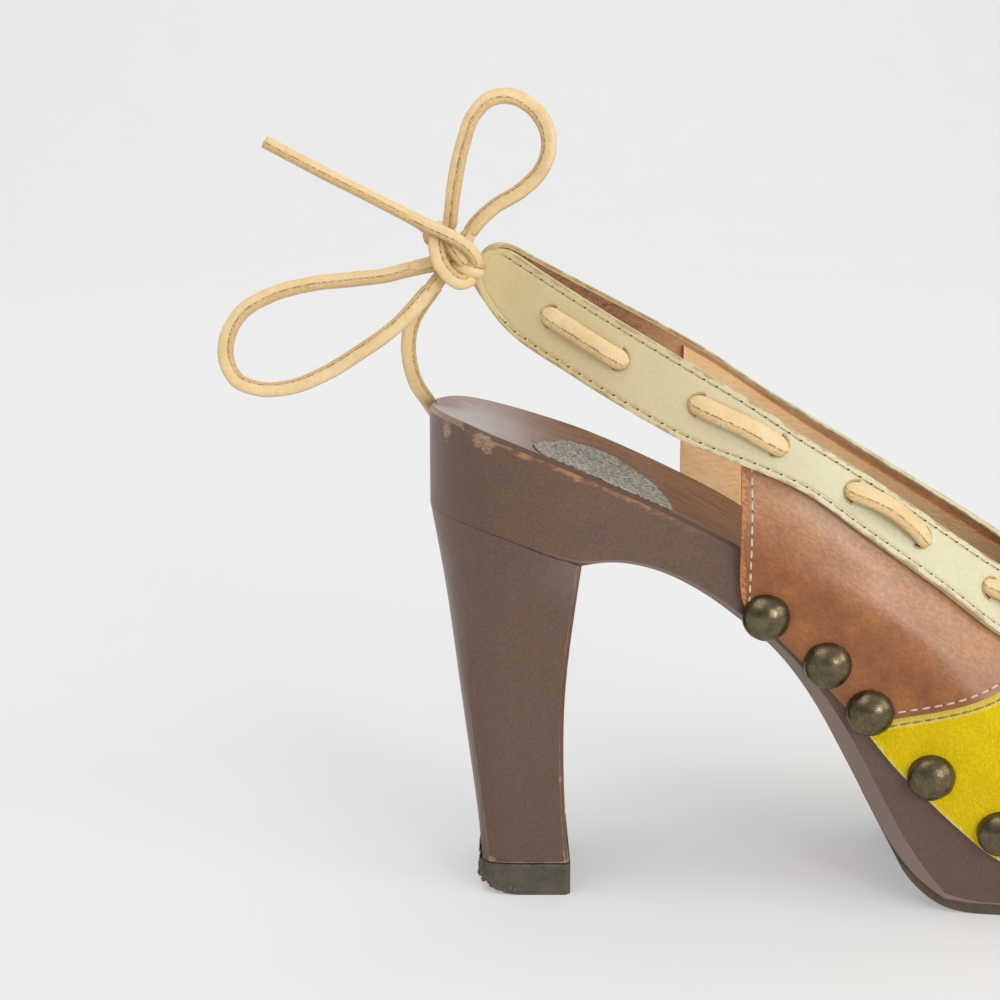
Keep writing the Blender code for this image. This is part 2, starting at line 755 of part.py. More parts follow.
def stand_on_origin(root, objects):
    """Move the whole shoe so that the middle of its foot plan stands over the origin."""
    bpy.context.view_layer.update()
    corners = [obj.matrix_world @ Vector(corner) for obj in objects for corner in obj.bound_box]
    middle = [(min(c[i] for c in corners) + max(c[i] for c in corners)) / 2 for i in (0, 1)]
    root.location = (-middle[0], -middle[1], 0.0)


def main():
    for obj in list(bpy.data.objects):
        bpy.data.objects.remove(obj)
    root = bpy.data.objects.new("shoe_root", None)
    bpy.context.collection.objects.link(root)
    topline = Topline()

    shoe = [
        add_object("sole_board", sole_board(), "stained_wood", root),
        add_object("heel_block", heel_block(), "stained_wood", root),
        add_object("heel_tip", heel_tip(), "black_rubber", root),
        add_object("outsole", outsole(), "sole_rubber", root),
        add_object("upper", upper(topline), "yellow_suede", root),
        add_object("band", band(topline), "pale_leather", root),
    ]
    dome = stud_mesh()
    for number, row in enumerate(STUD_ROWS, start=1):
        stud = add_object(f"stud_{number:02d}", dome, "antique_brass", root)
        stud.matrix_local = stud_matrix(**row)
        shoe.append(stud)
    for number, row in enumerate(BAR_ROWS, start=1):
        name = f"lace_bar_{number}"
        shoe.append(add_object(name, lace_bar(topline, name, **row), "lace_leather", root))
    stand_on_origin(root, shoe)

    add_object("lace_knot", knot_mesh(), "lace_leather", root)
    for row in CORD_ROWS:
        add_object(row["name"], cord_curve(**row), "lace_leather", root)


main()
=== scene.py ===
# %% [markdown]
# # A slingback clog, finished over its frame
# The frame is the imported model: wooden sole and heel, a leather upper nailed on with dome studs,
# and a laced band round the topline. Every node already has its true size and place. This lesson
# gives each one a fine surface and a finish, and adds the thin things that a solid model leaves
# out: stitches, slits, linings, the felt pad and wear.

# %% The frame
import math

import bmesh
import bpy
import numpy as np
from mathutils import Matrix, Vector, noise
from mathutils.bvhtree import BVHTree
from mathutils.kdtree import KDTree


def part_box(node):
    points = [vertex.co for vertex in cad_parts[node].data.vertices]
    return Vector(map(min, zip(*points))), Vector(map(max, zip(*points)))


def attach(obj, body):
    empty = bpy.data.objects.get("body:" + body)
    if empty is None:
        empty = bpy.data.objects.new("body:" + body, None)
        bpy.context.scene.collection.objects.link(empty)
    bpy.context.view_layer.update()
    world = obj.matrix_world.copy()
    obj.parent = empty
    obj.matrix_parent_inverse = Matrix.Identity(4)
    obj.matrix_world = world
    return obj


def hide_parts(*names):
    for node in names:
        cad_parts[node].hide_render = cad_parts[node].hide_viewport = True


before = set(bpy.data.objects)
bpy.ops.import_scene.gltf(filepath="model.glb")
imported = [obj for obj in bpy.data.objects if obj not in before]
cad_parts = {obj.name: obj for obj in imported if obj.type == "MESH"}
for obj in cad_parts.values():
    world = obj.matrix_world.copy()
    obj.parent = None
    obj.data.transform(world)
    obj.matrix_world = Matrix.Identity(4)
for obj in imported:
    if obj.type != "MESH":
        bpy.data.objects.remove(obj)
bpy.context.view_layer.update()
print("nodes in the frame:", len(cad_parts))

# %% [markdown]
# ## Places on the shoe
# A shoemaker measures from the back of the seat, from the middle of the heel and from the floor.
# The frame uses metres from its own origin, so one small function turns shoe millimetres into a
# place in the frame, and another turns a place back.

# %% Shoe millimetres
MM = 0.001
SEAT_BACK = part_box("sole_board")[0].x
MIDDLE = sum(corner.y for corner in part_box("heel_block")) / 2


def at(x, y, z):
    """Place in the frame of a point given in shoe millimetres."""
    return Vector((SEAT_BACK + x * MM, MIDDLE + y * MM, z * MM))


def shoe_mm(point):
    """Shoe millimetres of a place in the frame."""
    return Vector(((point[0] - SEAT_BACK) / MM, (point[1] - MIDDLE) / MM, point[2] / MM))


# %% [markdown]
# ## Camera
# The picture looks at the outer side of the shoe from a little above. The camera stands level
# with the ankle, turned down by eleven degrees, with a long lens so that the shape stays true.

# %% The photographer's camera
SENSOR = 36.0
FOCAL_PIXELS = 1862.5
FRAME_PIXELS = 1000
LOOK_DOWN = math.radians(11.185)

bpy.ops.object.camera_add(location=at(17.0, -438.4, 180.0), rotation=(math.pi / 2 - LOOK_DOWN, 0, 0))
camera = bpy.context.object
camera.data.sensor_width = SENSOR
camera.data.lens = SENSOR * FOCAL_PIXELS / FRAME_PIXELS
bpy.context.scene.camera = camera
print("lens, mm:", round(camera.data.lens, 2))

# %% [markdown]
# ## Floor and light
# The shoe stands on white paper that curves up behind it, so no horizon shows. The paper is a
# plane whose back edge is extruded up and whose corner is bevelled round. The light is a large
# soft box over the left, two small low ones in front and on the right that give the leather its
# sheen, and one for the paper.

# %% Tools for one piece at a time
def select_only(piece):
    """Make one object the only one selected, and the active one."""
    bpy.ops.object.select_all(action="DESELECT")
    piece.select_set(True)
    bpy.context.view_layer.objects.active = piece


def edit(piece, kind="VERT"):
    """Open a piece in edit mode with nothing selected."""
    select_only(piece)
    bpy.ops.object.mode_set(mode="EDIT")
    bpy.ops.mesh.select_mode(type=kind)
    bpy.ops.mesh.select_all(action="DESELECT")


def leave_edit():
    """Go back to object mode."""
    bpy.ops.object.mode_set(mode="OBJECT")


def edit_chosen(piece, kind, test):
    """Open a piece in edit mode with the vertices, edges or faces that pass a test selected."""
    edit(piece, kind)
    leave_edit()
    parts = {"VERT": piece.data.vertices, "EDGE": piece.data.edges, "FACE": piece.data.polygons}
    for part in parts[kind]:
        part.select = test(part)
    bpy.ops.object.mode_set(mode="EDIT")


def apply_modifier(piece, kind, **settings):
    """Add a modifier with its settings and apply it at once."""
    modifier = piece.modifiers.new(kind.lower(), kind)
    for name, value in settings.items():
        setattr(modifier, name, value)
    select_only(piece)
    bpy.ops.object.modifier_apply(modifier=modifier.name)


# %% Paper sweep
PAPER_WIDTH = 8.0
PAPER_BACK = 2.6
PAPER_FRONT = -3.0
PAPER_BEND = 0.9

bpy.ops.mesh.primitive_plane_add(size=1, location=(0, 0, 0))
paper = bpy.context.object
paper.name = "paper_sweep"
for corner in paper.data.vertices:
    corner.co.x *= PAPER_WIDTH
    corner.co.y = PAPER_BACK if corner.co.y > 0 else PAPER_FRONT
edit_chosen(paper, "VERT", lambda corner: corner.co.y > 0)
bpy.ops.mesh.extrude_region_move(TRANSFORM_OT_translate={"value": (0, 0, PAPER_BACK)})
leave_edit()
edit_chosen(paper, "VERT", lambda corner: corner.co.y > 0 and corner.co.z < PAPER_BEND)
bpy.ops.mesh.bevel(offset=PAPER_BEND, segments=16)
leave_edit()
select_only(paper)
bpy.ops.object.shade_smooth()
print("paper faces:", len(paper.data.polygons))

# %% Soft boxes
bpy.context.scene.view_settings.view_transform = "Standard"


def soft_box(name, place, size, watts, target=at(90, 0, 60)):
    """A square area light that looks at the shoe, or at another target."""
    bpy.ops.object.light_add(type="AREA", location=place)
    light = bpy.context.object
    light.name = name
    light.data.size = size
    light.data.energy = watts
    light.rotation_euler = (target - Vector(place)).to_track_quat("-Z", "Y").to_euler()


soft_box("soft_box_key", (-0.9, -0.6, 1.9), 1.5, 11.0)
soft_box("soft_box_front", (0.67, -1.27, 0.46), 0.5, 6.5)
soft_box("soft_box_right", (1.28, -0.68, 0.68), 0.8, 6.0)
soft_box("soft_box_paper", (0.0, 0.9, 2.6), 2.4, 21.0, Vector((0, PAPER_BACK, 1.9)))

# %% [markdown]
# ## Shader tools
# Every finish on this shoe is worked out by nodes, with no pictures. Placing nodes one by one
# takes many lines, so these helpers add a node, set its sockets or link them, and give back the
# output. Colours are written as a painter reads them off a screen, from 0 to 255. The first use is
# the room: bright overhead and dim at eye level, so that gloss shows where paper is reflected.

# %% Node helpers
def tone(red, green, blue):
    """A screen colour, 0 to 255 a channel, as the linear colour that shaders use."""
    linear = []
    for value in (red / 255, green / 255, blue / 255):
        linear.append(value / 12.92 if value <= 0.04045 else ((value + 0.055) / 1.055) ** 2.4)
    return (*linear, 1.0)


def add_node(tree, kind, sockets, **settings):
    """Add a node: sockets are values or outputs to link, settings are the node's own choices."""
    node = tree.nodes.new(kind)
    for name, value in settings.items():
        setattr(node, name, value)
    for name, value in sockets.items():
        if isinstance(value, bpy.types.NodeSocket):
            tree.links.new(value, node.inputs[name])
        else:
            node.inputs[name].default_value = value
    return node


def maths(tree, operation, first, second):
    """One operation on two values."""
    return add_node(tree, "ShaderNodeMath", {0: first, 1: second}, operation=operation).outputs[0]


def times(tree, first, second):
    """Two values multiplied."""
    return maths(tree, "MULTIPLY", first, second)


def plus(tree, first, second):
    """Two values added."""
    return maths(tree, "ADD", first, second)


def minus(tree, first, second):
    """The second value taken from the first."""
    return maths(tree, "SUBTRACT", first, second)


def raised(tree, base, mask, amount):
    """A value raised by an amount where a mask says."""
    return plus(tree, base, times(tree, mask, amount))


def step(tree, value, low, high):
    """A smooth step that goes from 0 at low to 1 at high."""
    sockets = {"Value": value, "From Min": low, "From Max": high}
    return add_node(tree, "ShaderNodeMapRange", sockets, interpolation_type="SMOOTHSTEP").outputs["Result"]


def fade(tree, value, full, gone):
    """A smooth step the other way, from 1 at full to 0 at gone."""
    return minus(tree, 1.0, step(tree, value, full, gone))


def lit_between(tree, value, low, low_full, high_full, high):
    """A mask that rises from low to low_full and falls again from high_full to high."""
    return times(tree, step(tree, value, low, low_full), fade(tree, value, high_full, high))


def mix(tree, factor, first, second):
    """Two colours mixed by a factor."""
    sockets = {0: factor, 6: first, 7: second}
    return add_node(tree, "ShaderNodeMix", sockets, data_type="RGBA").outputs[2]


def paint(tree, colour, mask, strength, over):
    """A colour with another painted over it, where a mask says and at a strength from 0 to 1."""
    return mix(tree, times(tree, mask, strength), colour, over)


def speckle(tree, place, size, detail=3.0):
    """Noise with blobs of about the given size, in the place's own units."""
    sockets = {"Vector": place, "Scale": 1 / size, "Detail": detail, "Roughness": 0.55}
    return add_node(tree, "ShaderNodeTexNoise", sockets).outputs["Fac"]


def measured_from(tree, place, origin):
    """A place measured from an origin."""
    return add_node(tree, "ShaderNodeVectorMath", {0: place, 1: origin}, operation="SUBTRACT").outputs[0]


def length_of(tree, vector):
    """The length of a vector."""
    return add_node(tree, "ShaderNodeVectorMath", {0: vector}, operation="LENGTH").outputs["Value"]


def axis_of(tree, vector, axis):
    """One of the three values of a vector."""
    return add_node(tree, "ShaderNodeSeparateXYZ", {0: vector}).outputs[axis]


def stretch(tree, place, scale):
    """A place squeezed or stretched along each axis."""
    return add_node(tree, "ShaderNodeVectorMath", {0: place, 1: scale}, operation="MULTIPLY").outputs[0]


def own_value(tree, name):
    """A value stored on the piece's own points."""
    return add_node(tree, "ShaderNodeAttribute", {}, attribute_name=name).outputs["Fac"]


def new_group(name, inputs, outputs):
    """An empty node group with named sockets, and its two end nodes."""
    group = bpy.data.node_groups.new(name, "ShaderNodeTree")
    for label, value in inputs.items():
        kind = "NodeSocketVector" if isinstance(value, tuple) else "NodeSocketFloat"
        group.interface.new_socket(label, in_out="INPUT", socket_type=kind).default_value = value
    for label, kind in outputs.items():
        group.interface.new_socket(label, in_out="OUTPUT", socket_type=kind)
    return group, group.nodes.new("NodeGroupInput").outputs, group.nodes.new("NodeGroupOutput").inputs


def use_group(tree, group, **sockets):
    """Place a group in a material and give back its outputs."""
    return add_node(tree, "ShaderNodeGroup", sockets, node_tree=group).outputs


# %% Room light
ROOM_LOW = 0.28
ROOM_HIGH = 0.72

room = bpy.data.worlds.new("dim_room")
bpy.context.scene.world = room
room.use_nodes = True
tree = room.node_tree
look = add_node(tree, "ShaderNodeTexCoord", {}).outputs["Generated"]
glow = step(tree, axis_of(tree, look, "Z"), 0.0, 0.9)
glow = raised(tree, ROOM_LOW, glow, ROOM_HIGH - ROOM_LOW)
room_light = tree.nodes["Background"]
room_light.inputs["Color"].default_value = (0.97, 0.98, 1.0, 1.0)
tree.links.new(glow, room_light.inputs["Strength"])
print("room light from", ROOM_LOW, "to", ROOM_HIGH)

# %% [markdown]
# ## Shared effects
# Leather, suede, wood and rubber share a few effects: the place on the shoe in millimetres, broad
# mottling, fine grain, and wear that follows sharp edges. Each is a node group, built once and
# used with other values in each finish.

# %% Group: place on the shoe
place_group, _, place_out = new_group("shoe_place", {}, {"Place": "NodeSocketVector"})
object_place = add_node(place_group, "ShaderNodeTexCoord", {}).outputs["Object"]
to_shoe = {"Vector": object_place, "Location": (-SEAT_BACK / MM, -MIDDLE / MM, 0), "Scale": (1 / MM,) * 3}
place_group.links.new(add_node(place_group, "ShaderNodeMapping", to_shoe).outputs[0], place_out["Place"])

# %% Group: mottling
mottle_group, mottle_in, mottle_out = new_group(
    "mottling", {"Place": (0.0, 0.0, 0.0), "Size": 10.0, "Contrast": 2.0}, {"Mask": "NodeSocketFloat"})
mottle_scale = maths(mottle_group, "DIVIDE", 1.0, mottle_in["Size"])
blobs = add_node(mottle_group, "ShaderNodeTexNoise",
                 {"Vector": mottle_in["Place"], "Scale": mottle_scale, "Detail": 4.0, "Roughness": 0.6})
centred = minus(mottle_group, blobs.outputs["Fac"], 0.5)
sharper = times(mottle_group, centred, mottle_in["Contrast"])
mottle_sum = add_node(mottle_group, "ShaderNodeMath", {0: sharper, 1: 0.5}, operation="ADD", use_clamp=True)
mottle_group.links.new(mottle_sum.outputs[0], mottle_out["Mask"])


def mottled(tree, place, size, contrast):
    """The mottling's mask, placed in a material."""
    return use_group(tree, mottle_group, Place=place, Size=size, Contrast=contrast)["Mask"]


# %% Group: leather grain
grain_group, grain_in, grain_out = new_group(
    "leather_grain", {"Place": (0.0, 0.0, 0.0), "Size": 1.0}, {"Height": "NodeSocketFloat"})
grain_scale = maths(grain_group, "DIVIDE", 1.0, grain_in["Size"])
wobble = add_node(grain_group, "ShaderNodeTexNoise",
                  {"Vector": grain_in["Place"], "Scale": grain_scale, "Detail": 3.0})
bent_place = add_node(grain_group, "ShaderNodeVectorMath",
                      {0: grain_in["Place"], 1: wobble.outputs["Color"]}, operation="ADD").outputs[0]
pebbles = add_node(grain_group, "ShaderNodeTexVoronoi",
                   {"Vector": bent_place, "Scale": grain_scale}, feature="DISTANCE_TO_EDGE")
pebble_tops = step(grain_group, pebbles.outputs["Distance"], 0.0, 0.3)
pebble_height = raised(grain_group, pebble_tops, wobble.outputs["Fac"], 0.8)
grain_group.links.new(pebble_height, grain_out["Height"])


def grained(tree, place, size):
    """The leather grain's height, placed in a material."""
    return use_group(tree, grain_group, Place=place, Size=size)["Height"]


# %% Group: edge wear
wear_group, wear_in, wear_out = new_group(
    "edge_wear", {"Place": (0.0, 0.0, 0.0), "Width": 1.5, "Patch": 8.0, "Bare": 0.5},
    {"Mask": "NodeSocketFloat"})
edge_distance = own_value(wear_group, "edge_mm")
patch_scale = maths(wear_group, "DIVIDE", 1.0, wear_in["Patch"])
patches = add_node(wear_group, "ShaderNodeTexNoise",
                   {"Vector": wear_in["Place"], "Scale": patch_scale, "Detail": 5.0, "Roughness": 0.65})
near_edge = minus(wear_group, 1.0, maths(wear_group, "DIVIDE", edge_distance, wear_in["Width"]))
patchy = minus(wear_group, patches.outputs["Fac"], wear_in["Bare"])
rubbed = raised(wear_group, near_edge, patchy, 5.0)
wear_group.links.new(step(wear_group, rubbed, 0.0, 0.8), wear_out["Mask"])


def worn_edges(tree, place, width, patch, bare):
    """The edge wear's mask, placed in a material."""
    return use_group(tree, wear_group, Place=place, Width=width, Patch=patch, Bare=bare)["Mask"]


print("groups:", sorted(group.name for group in bpy.data.node_groups))


# %% A new finish
def new_finish(name, **constants):
    """A material with its shader's plain values set, its node tree, and the place on the shoe."""
    material = bpy.data.materials.new(name)
    material.use_nodes = True
    tree = material.node_tree
    shader = tree.nodes["Principled BSDF"]
    for label, value in constants.items():
        shader.inputs[label.replace("_", " ")].default_value = value
    return material, tree, use_group(tree, place_group)["Place"]


def wire(tree, colour=None, roughness=None, height=None, bump=0.1):
    """Link a finish's colour, roughness and bump height; bump is its depth in millimetres."""
    shader = tree.nodes["Principled BSDF"]
    if colour is not None:
        tree.links.new(colour, shader.inputs["Base Color"])
    if roughness is not None:
        tree.links.new(roughness, shader.inputs["Roughness"])
    if height is not None:
        sockets = {"Height": height, "Distance": bump * MM, "Strength": 1.0}
        tree.links.new(add_node(tree, "ShaderNodeBump", sockets).outputs["Normal"], shader.inputs["Normal"])


def dress(piece, slot, *finishes):
    """Give a piece its finishes, and let it ride on the shoe; the slot is not used."""
    for finish in finishes:
        piece.data.materials.append(finish)
    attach(piece, "root")


# %% Paper finish
# The paper is lit through from below, as on a light table, so its own glow softens the shadows.
paper_finish, tree, place = new_finish("white_paper", Roughness=0.9, Emission_Strength=0.32)
tree.nodes["Principled BSDF"].inputs["Emission Color"].default_value = (1.0, 0.995, 0.985, 1.0)
paper_tone = mix(tree, speckle(tree, place, 60.0), tone(192, 191, 190), tone(196, 195, 194))
wire(tree, paper_tone, height=speckle(tree, place, 0.6), bump=0.02)
paper.data.materials.append(paper_finish)

# %% [markdown]
# ## The lace: leather and strands
# The lace is a strip of pale leather folded lengthwise: one side is smooth, the other shows its raw
# flesh, and a broken dark line lies between them. A curve with a round bevel would make a wire of
# it, and it twists where it likes. So each stretch is swept here: a flat section is carried along
# a smooth path, a facing direction says which way its broad side looks, and its raw side is the
# one towards a given place, such as the middle of a loop.

# %% Lace leather
lace_leather, tree, place = new_finish("lace_leather", Roughness=0.5, Coat_Weight=0.1, Coat_Roughness=0.4)
broad = mottled(tree, place, 7.0, 3.0)
lace_tone = mix(tree, broad, tone(234, 200, 144), tone(246, 220, 172))
lace_tone = paint(tree, lace_tone, mottled(tree, place, 1.1, 2.5), 0.4, tone(222, 184, 126))
raw = own_value(tree, "raw")
raw_side = step(tree, raw, 0.46, 0.54)
raw_fibres = times(tree, raw_side, mottled(tree, place, 0.6, 5.0))
lace_tone = paint(tree, lace_tone, raw_side, 0.6, tone(218, 178, 120))
lace_tone = paint(tree, lace_tone, raw_fibres, 0.3, tone(150, 110, 62))
fold_line = lit_between(tree, raw, 0.40, 0.46, 0.50, 0.56)
broken_line = times(tree, fold_line, step(tree, speckle(tree, place, 0.9), 0.44, 0.56))
lace_tone = paint(tree, lace_tone, broken_line, 0.7, tone(104, 72, 40))
lace_height = minus(tree, grained(tree, place, 0.55), times(tree, fold_line, 4.0))
wire(tree, lace_tone, raised(tree, 0.4, broad, 0.2), lace_height, 0.04)


# %% Smooth paths
def resample(points, spacing):
    """Points spaced evenly along a run of points."""
    points = np.asarray([tuple(point) for point in points])
    along = np.concatenate([[0.0], np.cumsum(np.linalg.norm(np.diff(points, axis=0), axis=1))])
    wanted = np.linspace(0, along[-1], max(2, round(along[-1] / spacing) + 1))
    return np.column_stack([np.interp(wanted, along, points[:, axis]) for axis in range(3)])


def smooth_path(route, spacing):
    """Points spaced evenly along one smooth curve through a route's own points."""
    knots = np.asarray([tuple(point) for point in route])
    chord = np.concatenate([[0.0], np.cumsum(np.linalg.norm(np.diff(knots, axis=0), axis=1))])
    slope = np.gradient(knots, chord, axis=0)
    wanted = np.linspace(0, chord[-1], 40 * len(knots))
    left = np.clip(np.searchsorted(chord, wanted, side="right") - 1, 0, len(chord) - 2)
    span = (chord[left + 1] - chord[left])[:, None]
    share = ((wanted - chord[left])[:, None]) / span
    curve = ((2 * share ** 3 - 3 * share ** 2 + 1) * knots[left]
             + (share ** 3 - 2 * share ** 2 + share) * span * slope[left]
             + (3 * share ** 2 - 2 * share ** 3) * knots[left + 1]
             + (share ** 3 - share ** 2) * span * slope[left + 1])
    return resample(curve, spacing)


def path_length(points):
    """Length of a run of points."""
    return float(np.linalg.norm(np.diff(np.asarray(points), axis=0), axis=1).sum())


# %% One strand of lace
LACE_WIDTH = 3.7 * MM
LACE_THICK = 2.3 * MM
SECTION_POINTS = 32
STRAND_SPACING = 0.8 * MM
FOLD_PLACE = 0.36
FOLD_DEEP = 0.12
# How the strip's width wavers: the share of the width and the length of each waver.
WAVERS = ((0.07, 9.0 * MM), (0.03, 2.0 * MM))


def store(mesh, name, values):
    """Keep one value a point on a mesh, for its finish to read."""
    mesh.attributes.new(name, "FLOAT", "POINT").data.foreach_set("value", np.asarray(values, np.float32))


def lace_section(raw_sign):
    """The flat section as rows of across and deep, from -1 to 1, and raw, 0 on its smooth side."""
    outline = []
    for number in range(SECTION_POINTS):
        angle = 2 * math.pi * (number + 0.5) / SECTION_POINTS
        across = math.copysign(abs(math.cos(angle)) ** 0.7, math.cos(angle))
        deep = math.copysign(abs(math.sin(angle)) ** 0.8, math.sin(angle))
        beyond_fold = across * raw_sign - FOLD_PLACE
        raw = min(max(0.48 + 0.7 * beyond_fold, 0.0), 1.0) if deep > 0 else 1.0
        if deep > 0:
            deep -= FOLD_DEEP * math.exp(-(beyond_fold / 0.15) ** 2)
        outline.append((across, deep, raw))
    return outline


def strand_axes(path, facing):
    """The facing and the side direction at each point of a path."""
    last = len(path) - 1
    axes = []
    for number in range(len(path)):
        tangent = Vector(path[min(number + 1, last)] - path[max(number - 1, 0)]).normalized()
        face = Vector(facing[0]).lerp(Vector(facing[1]), number / last)
        face = (face - tangent * face.dot(tangent)).normalized()
        axes.append((face, tangent.cross(face)))
    return axes


def lace_strand(name, route, facing, raw_towards, width=LACE_WIDTH, thick=LACE_THICK, round_end=0.0):
    """A strip of lace along a route; facing holds the way it looks at its start and at its end.

    Its raw side is the one that lies towards a given place. With a round_end, the strip narrows
    to a half round over that length at both of its ends.
    """
    path = smooth_path(route, STRAND_SPACING)
    axes = strand_axes(path, facing)
    leaning = sum(side.dot(raw_towards - Vector(centre)) for (_, side), centre in zip(axes, path))
    section = lace_section(math.copysign(1, leaning))
    last = len(path) - 1
    length = path_length(path)
    points = []
    raw_points = []
    for number, (centre, (face, side)) in enumerate(zip(path, axes)):
        centre = Vector(centre)
        uneven = 1 + sum(share * noise.noise(centre / reach) for share, reach in WAVERS)
        if round_end:
            from_end = min(number, last - number) / last * length
            uneven *= math.sqrt(max(0.12, 1 - max(0.0, 1 - from_end / round_end) ** 2))
        for across, deep, raw in section:
            points.append(centre + side * (across * width / 2 * uneven) + face * (deep * thick / 2))
            raw_points.append(raw)
    count = len(section)
    faces = [[row * count + spot, row * count + (spot + 1) % count,
              (row + 1) * count + (spot + 1) % count, (row + 1) * count + spot]
             for row in range(last) for spot in range(count)]
    faces.append(list(range(count - 1, -1, -1)))
    faces.append([last * count + spot for spot in range(count)])
    mesh = bpy.data.meshes.new(name)
    mesh.from_pydata(points, [], faces)
    mesh.shade_smooth()
    store(mesh, "raw", raw_points)
    strand = bpy.data.objects.new(name, mesh)
    bpy.context.collection.objects.link(strand)
    return strand, path


# %% [markdown]
# ## The bow
# Behind the heel the lace is tied: one loop stands up, one hangs out behind, a long end sticks up
# and back, and a short end drops behind the seat. Their routes are the frame's own, point by
# They are free cords, and the length of each one is printed.

# %% Loops and ends
TOWARDS_VIEWER = (0.0, -1.0, 0.0)
BOW_ROUTES = {
    "lace_loop_upper": [
        (5.2, -1.2, 157.4), (5.8, -1.9, 163.0), (6.6, -2.0, 169.0), (8.4, -1.6, 177.0), (11.0, -0.8, 183.8),
        (14.7, 0.2, 187.4), (19.3, 1.0, 188.1), (24.6, 1.8, 185.4), (27.9, 2.4, 180.4), (28.3, 2.8, 175.9),
        (26.3, 3.2, 170.8), (21.6, 3.4, 166.3), (15.8, 3.2, 162.8), (11.4, 2.6, 158.8), (9.3, 1.9, 155.9)],
    "lace_loop_lower": [
        (-0.5, -0.8, 149.1), (-4.4, -1.2, 148.4), (-9.0, -1.4, 147.2), (-17.0, -1.5, 146.2),
        (-27.6, -1.8, 145.0), (-37.0, -2.4, 142.4), (-43.5, -3.0, 138.4), (-46.7, -3.6, 133.0),
        (-47.1, -4.0, 127.5), (-44.6, -4.4, 122.8), (-39.4, -4.7, 120.8), (-32.8, -4.9, 121.1),
        (-24.4, -5.0, 124.2), (-16.1, -5.0, 129.2), (-6.5, -4.9, 136.2), (-2.0, -4.2, 140.8),
        (1.3, -2.8, 144.8)],
    "lace_end_long": [
        (2.6, -4.0, 155.2), (-0.4, -5.4, 158.6), (-4.6, -5.8, 161.2), (-10.9, -5.2, 164.4),
        (-24.7, -3.6, 171.3), (-37.1, -2.0, 177.7)],
    "lace_end_short": [
        (1.7, 2.2, 144.2), (-1.2, 3.7, 140.2), (-3.4, 4.2, 136.6), (-4.8, 4.8, 131.0), (-4.5, 5.8, 125.4),
        (-3.2, 8.2, 120.4), (-1.0, 12.0, 116.2), (1.4, 16.8, 111.6), (3.6, 20.6, 106.6)]}
BOW_FACING = {
    "lace_loop_upper": ((-0.7, -1.0, 0.1), (-0.2, -1.0, 0.7)),
    "lace_loop_lower": ((0.0, -1.0, 0.8), (0.1, -1.0, 0.6)),
    "lace_end_long": ((0.1, -1.0, 0.8), (0.0, -1.0, 0.6)),
    "lace_end_short": ((0.6, -1.0, 0.0), (0.3, -1.0, 0.3))}
BOW_WIDTH = {"lace_end_long": 2.9 * MM}
BOW_INSIDE = {
    "lace_loop_upper": (17.0, 0.0, 176.0), "lace_loop_lower": (-26.0, -3.0, 134.0),
    "lace_end_long": (-20.0, 0.0, 0.0), "lace_end_short": (60.0, 0.0, 125.0)}

ROUND_END = 2.0 * MM

bow = {}
bow_paths = {}
for node, route in BOW_ROUTES.items():
    places = [at(*point) for point in route]
    width = BOW_WIDTH.get(node, LACE_WIDTH)
    inside = at(*BOW_INSIDE[node])
    ends = ROUND_END if "loop" in node else 0.0
    bow[node], bow_paths[node] = lace_strand(
        node + "_strand", places, BOW_FACING[node], inside, width, round_end=ends)
    dress(bow[node], "lace_leather", lace_leather)
    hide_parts(node)
    print(node, "length, mm:", round(path_length(bow_paths[node]) / MM, 1))

# %% [markdown]
# ## The knot
# The knot is where the strands wrap each other: the long end crosses over the front, one turn
# comes down under it on the left, and the loops go in below and above. A lump would look like
# putty, so each turn is a short strand of the same lace, and the strands are joined into one piece.

# %% Turns of the knot
KNOT_TURNS = {
    "knot_front": [
        (3.2, -3.0, 159.0), (2.4, -4.8, 157.4), (2.2, -5.8, 155.4), (2.5, -6.6, 152.7), (3.6, -7.0, 149.7),
        (5.4, -7.2, 147.4), (7.5, -6.8, 146.0), (9.4, -5.4, 146.2), (10.4, -3.4, 147.4), (10.6, -1.0, 148.6)],
    "knot_top": [
        (-8.4, -4.9, 163.1), (-4.6, -5.7, 161.3), (-0.2, -6.9, 159.2), (4.5, -8.0, 157.1), (7.2, -8.0, 155.7),
        (9.6, -7.2, 153.9), (11.2, -5.8, 151.6), (11.6, -4.0, 149.4), (11.0, -1.6, 148.0)],
    "knot_lump": [
        (4.0, -3.4, 157.4), (5.6, -5.2, 155.0), (7.6, -5.4, 152.0), (9.6, -4.0, 149.4), (10.6, -1.4, 147.4)],
    "knot_low": [
        (-4.4, -1.2, 148.5), (-2.0, -1.4, 149.0), (0.6, -2.0, 149.6), (3.4, -2.6, 150.4), (6.4, -2.4, 151.4)],
    "knot_under": [(0.2, -3.4, 143.2), (2.4, -2.6, 145.8), (4.4, 0.6, 148.6), (6.2, 3.8, 152.0)],
    "knot_behind": [(-0.6, 2.4, 156.2), (4.2, 5.4, 153.4), (9.0, 4.0, 148.6), (10.6, 0.4, 145.4)],
    "knot_rise": [(5.0, -1.0, 158.6), (5.0, 0.0, 155.4), (4.6, 1.6, 151.6)],
    "knot_return": [(10.2, 2.2, 157.4), (8.6, 1.4, 154.6), (6.6, -0.4, 151.0)],
    "knot_near_band": [(13.4, -4.0, 148.2), (11.0, -5.0, 148.6), (8.6, -4.8, 149.2), (6.4, -3.4, 149.8)],
    "knot_far_band": [(13.4, 3.4, 148.4), (11.4, 3.8, 149.4), (9.2, 3.4, 150.4), (7.0, 2.0, 151.2)]}
KNOT_FACING = {"knot_behind": ((0, 1, 0), (0.4, 1, 0)), "knot_far_band": ((0.2, 1, 0.2), (0.2, 1, 0.2))}
KNOT_LAST_FACING = (0.5, -1.0, 0.1)
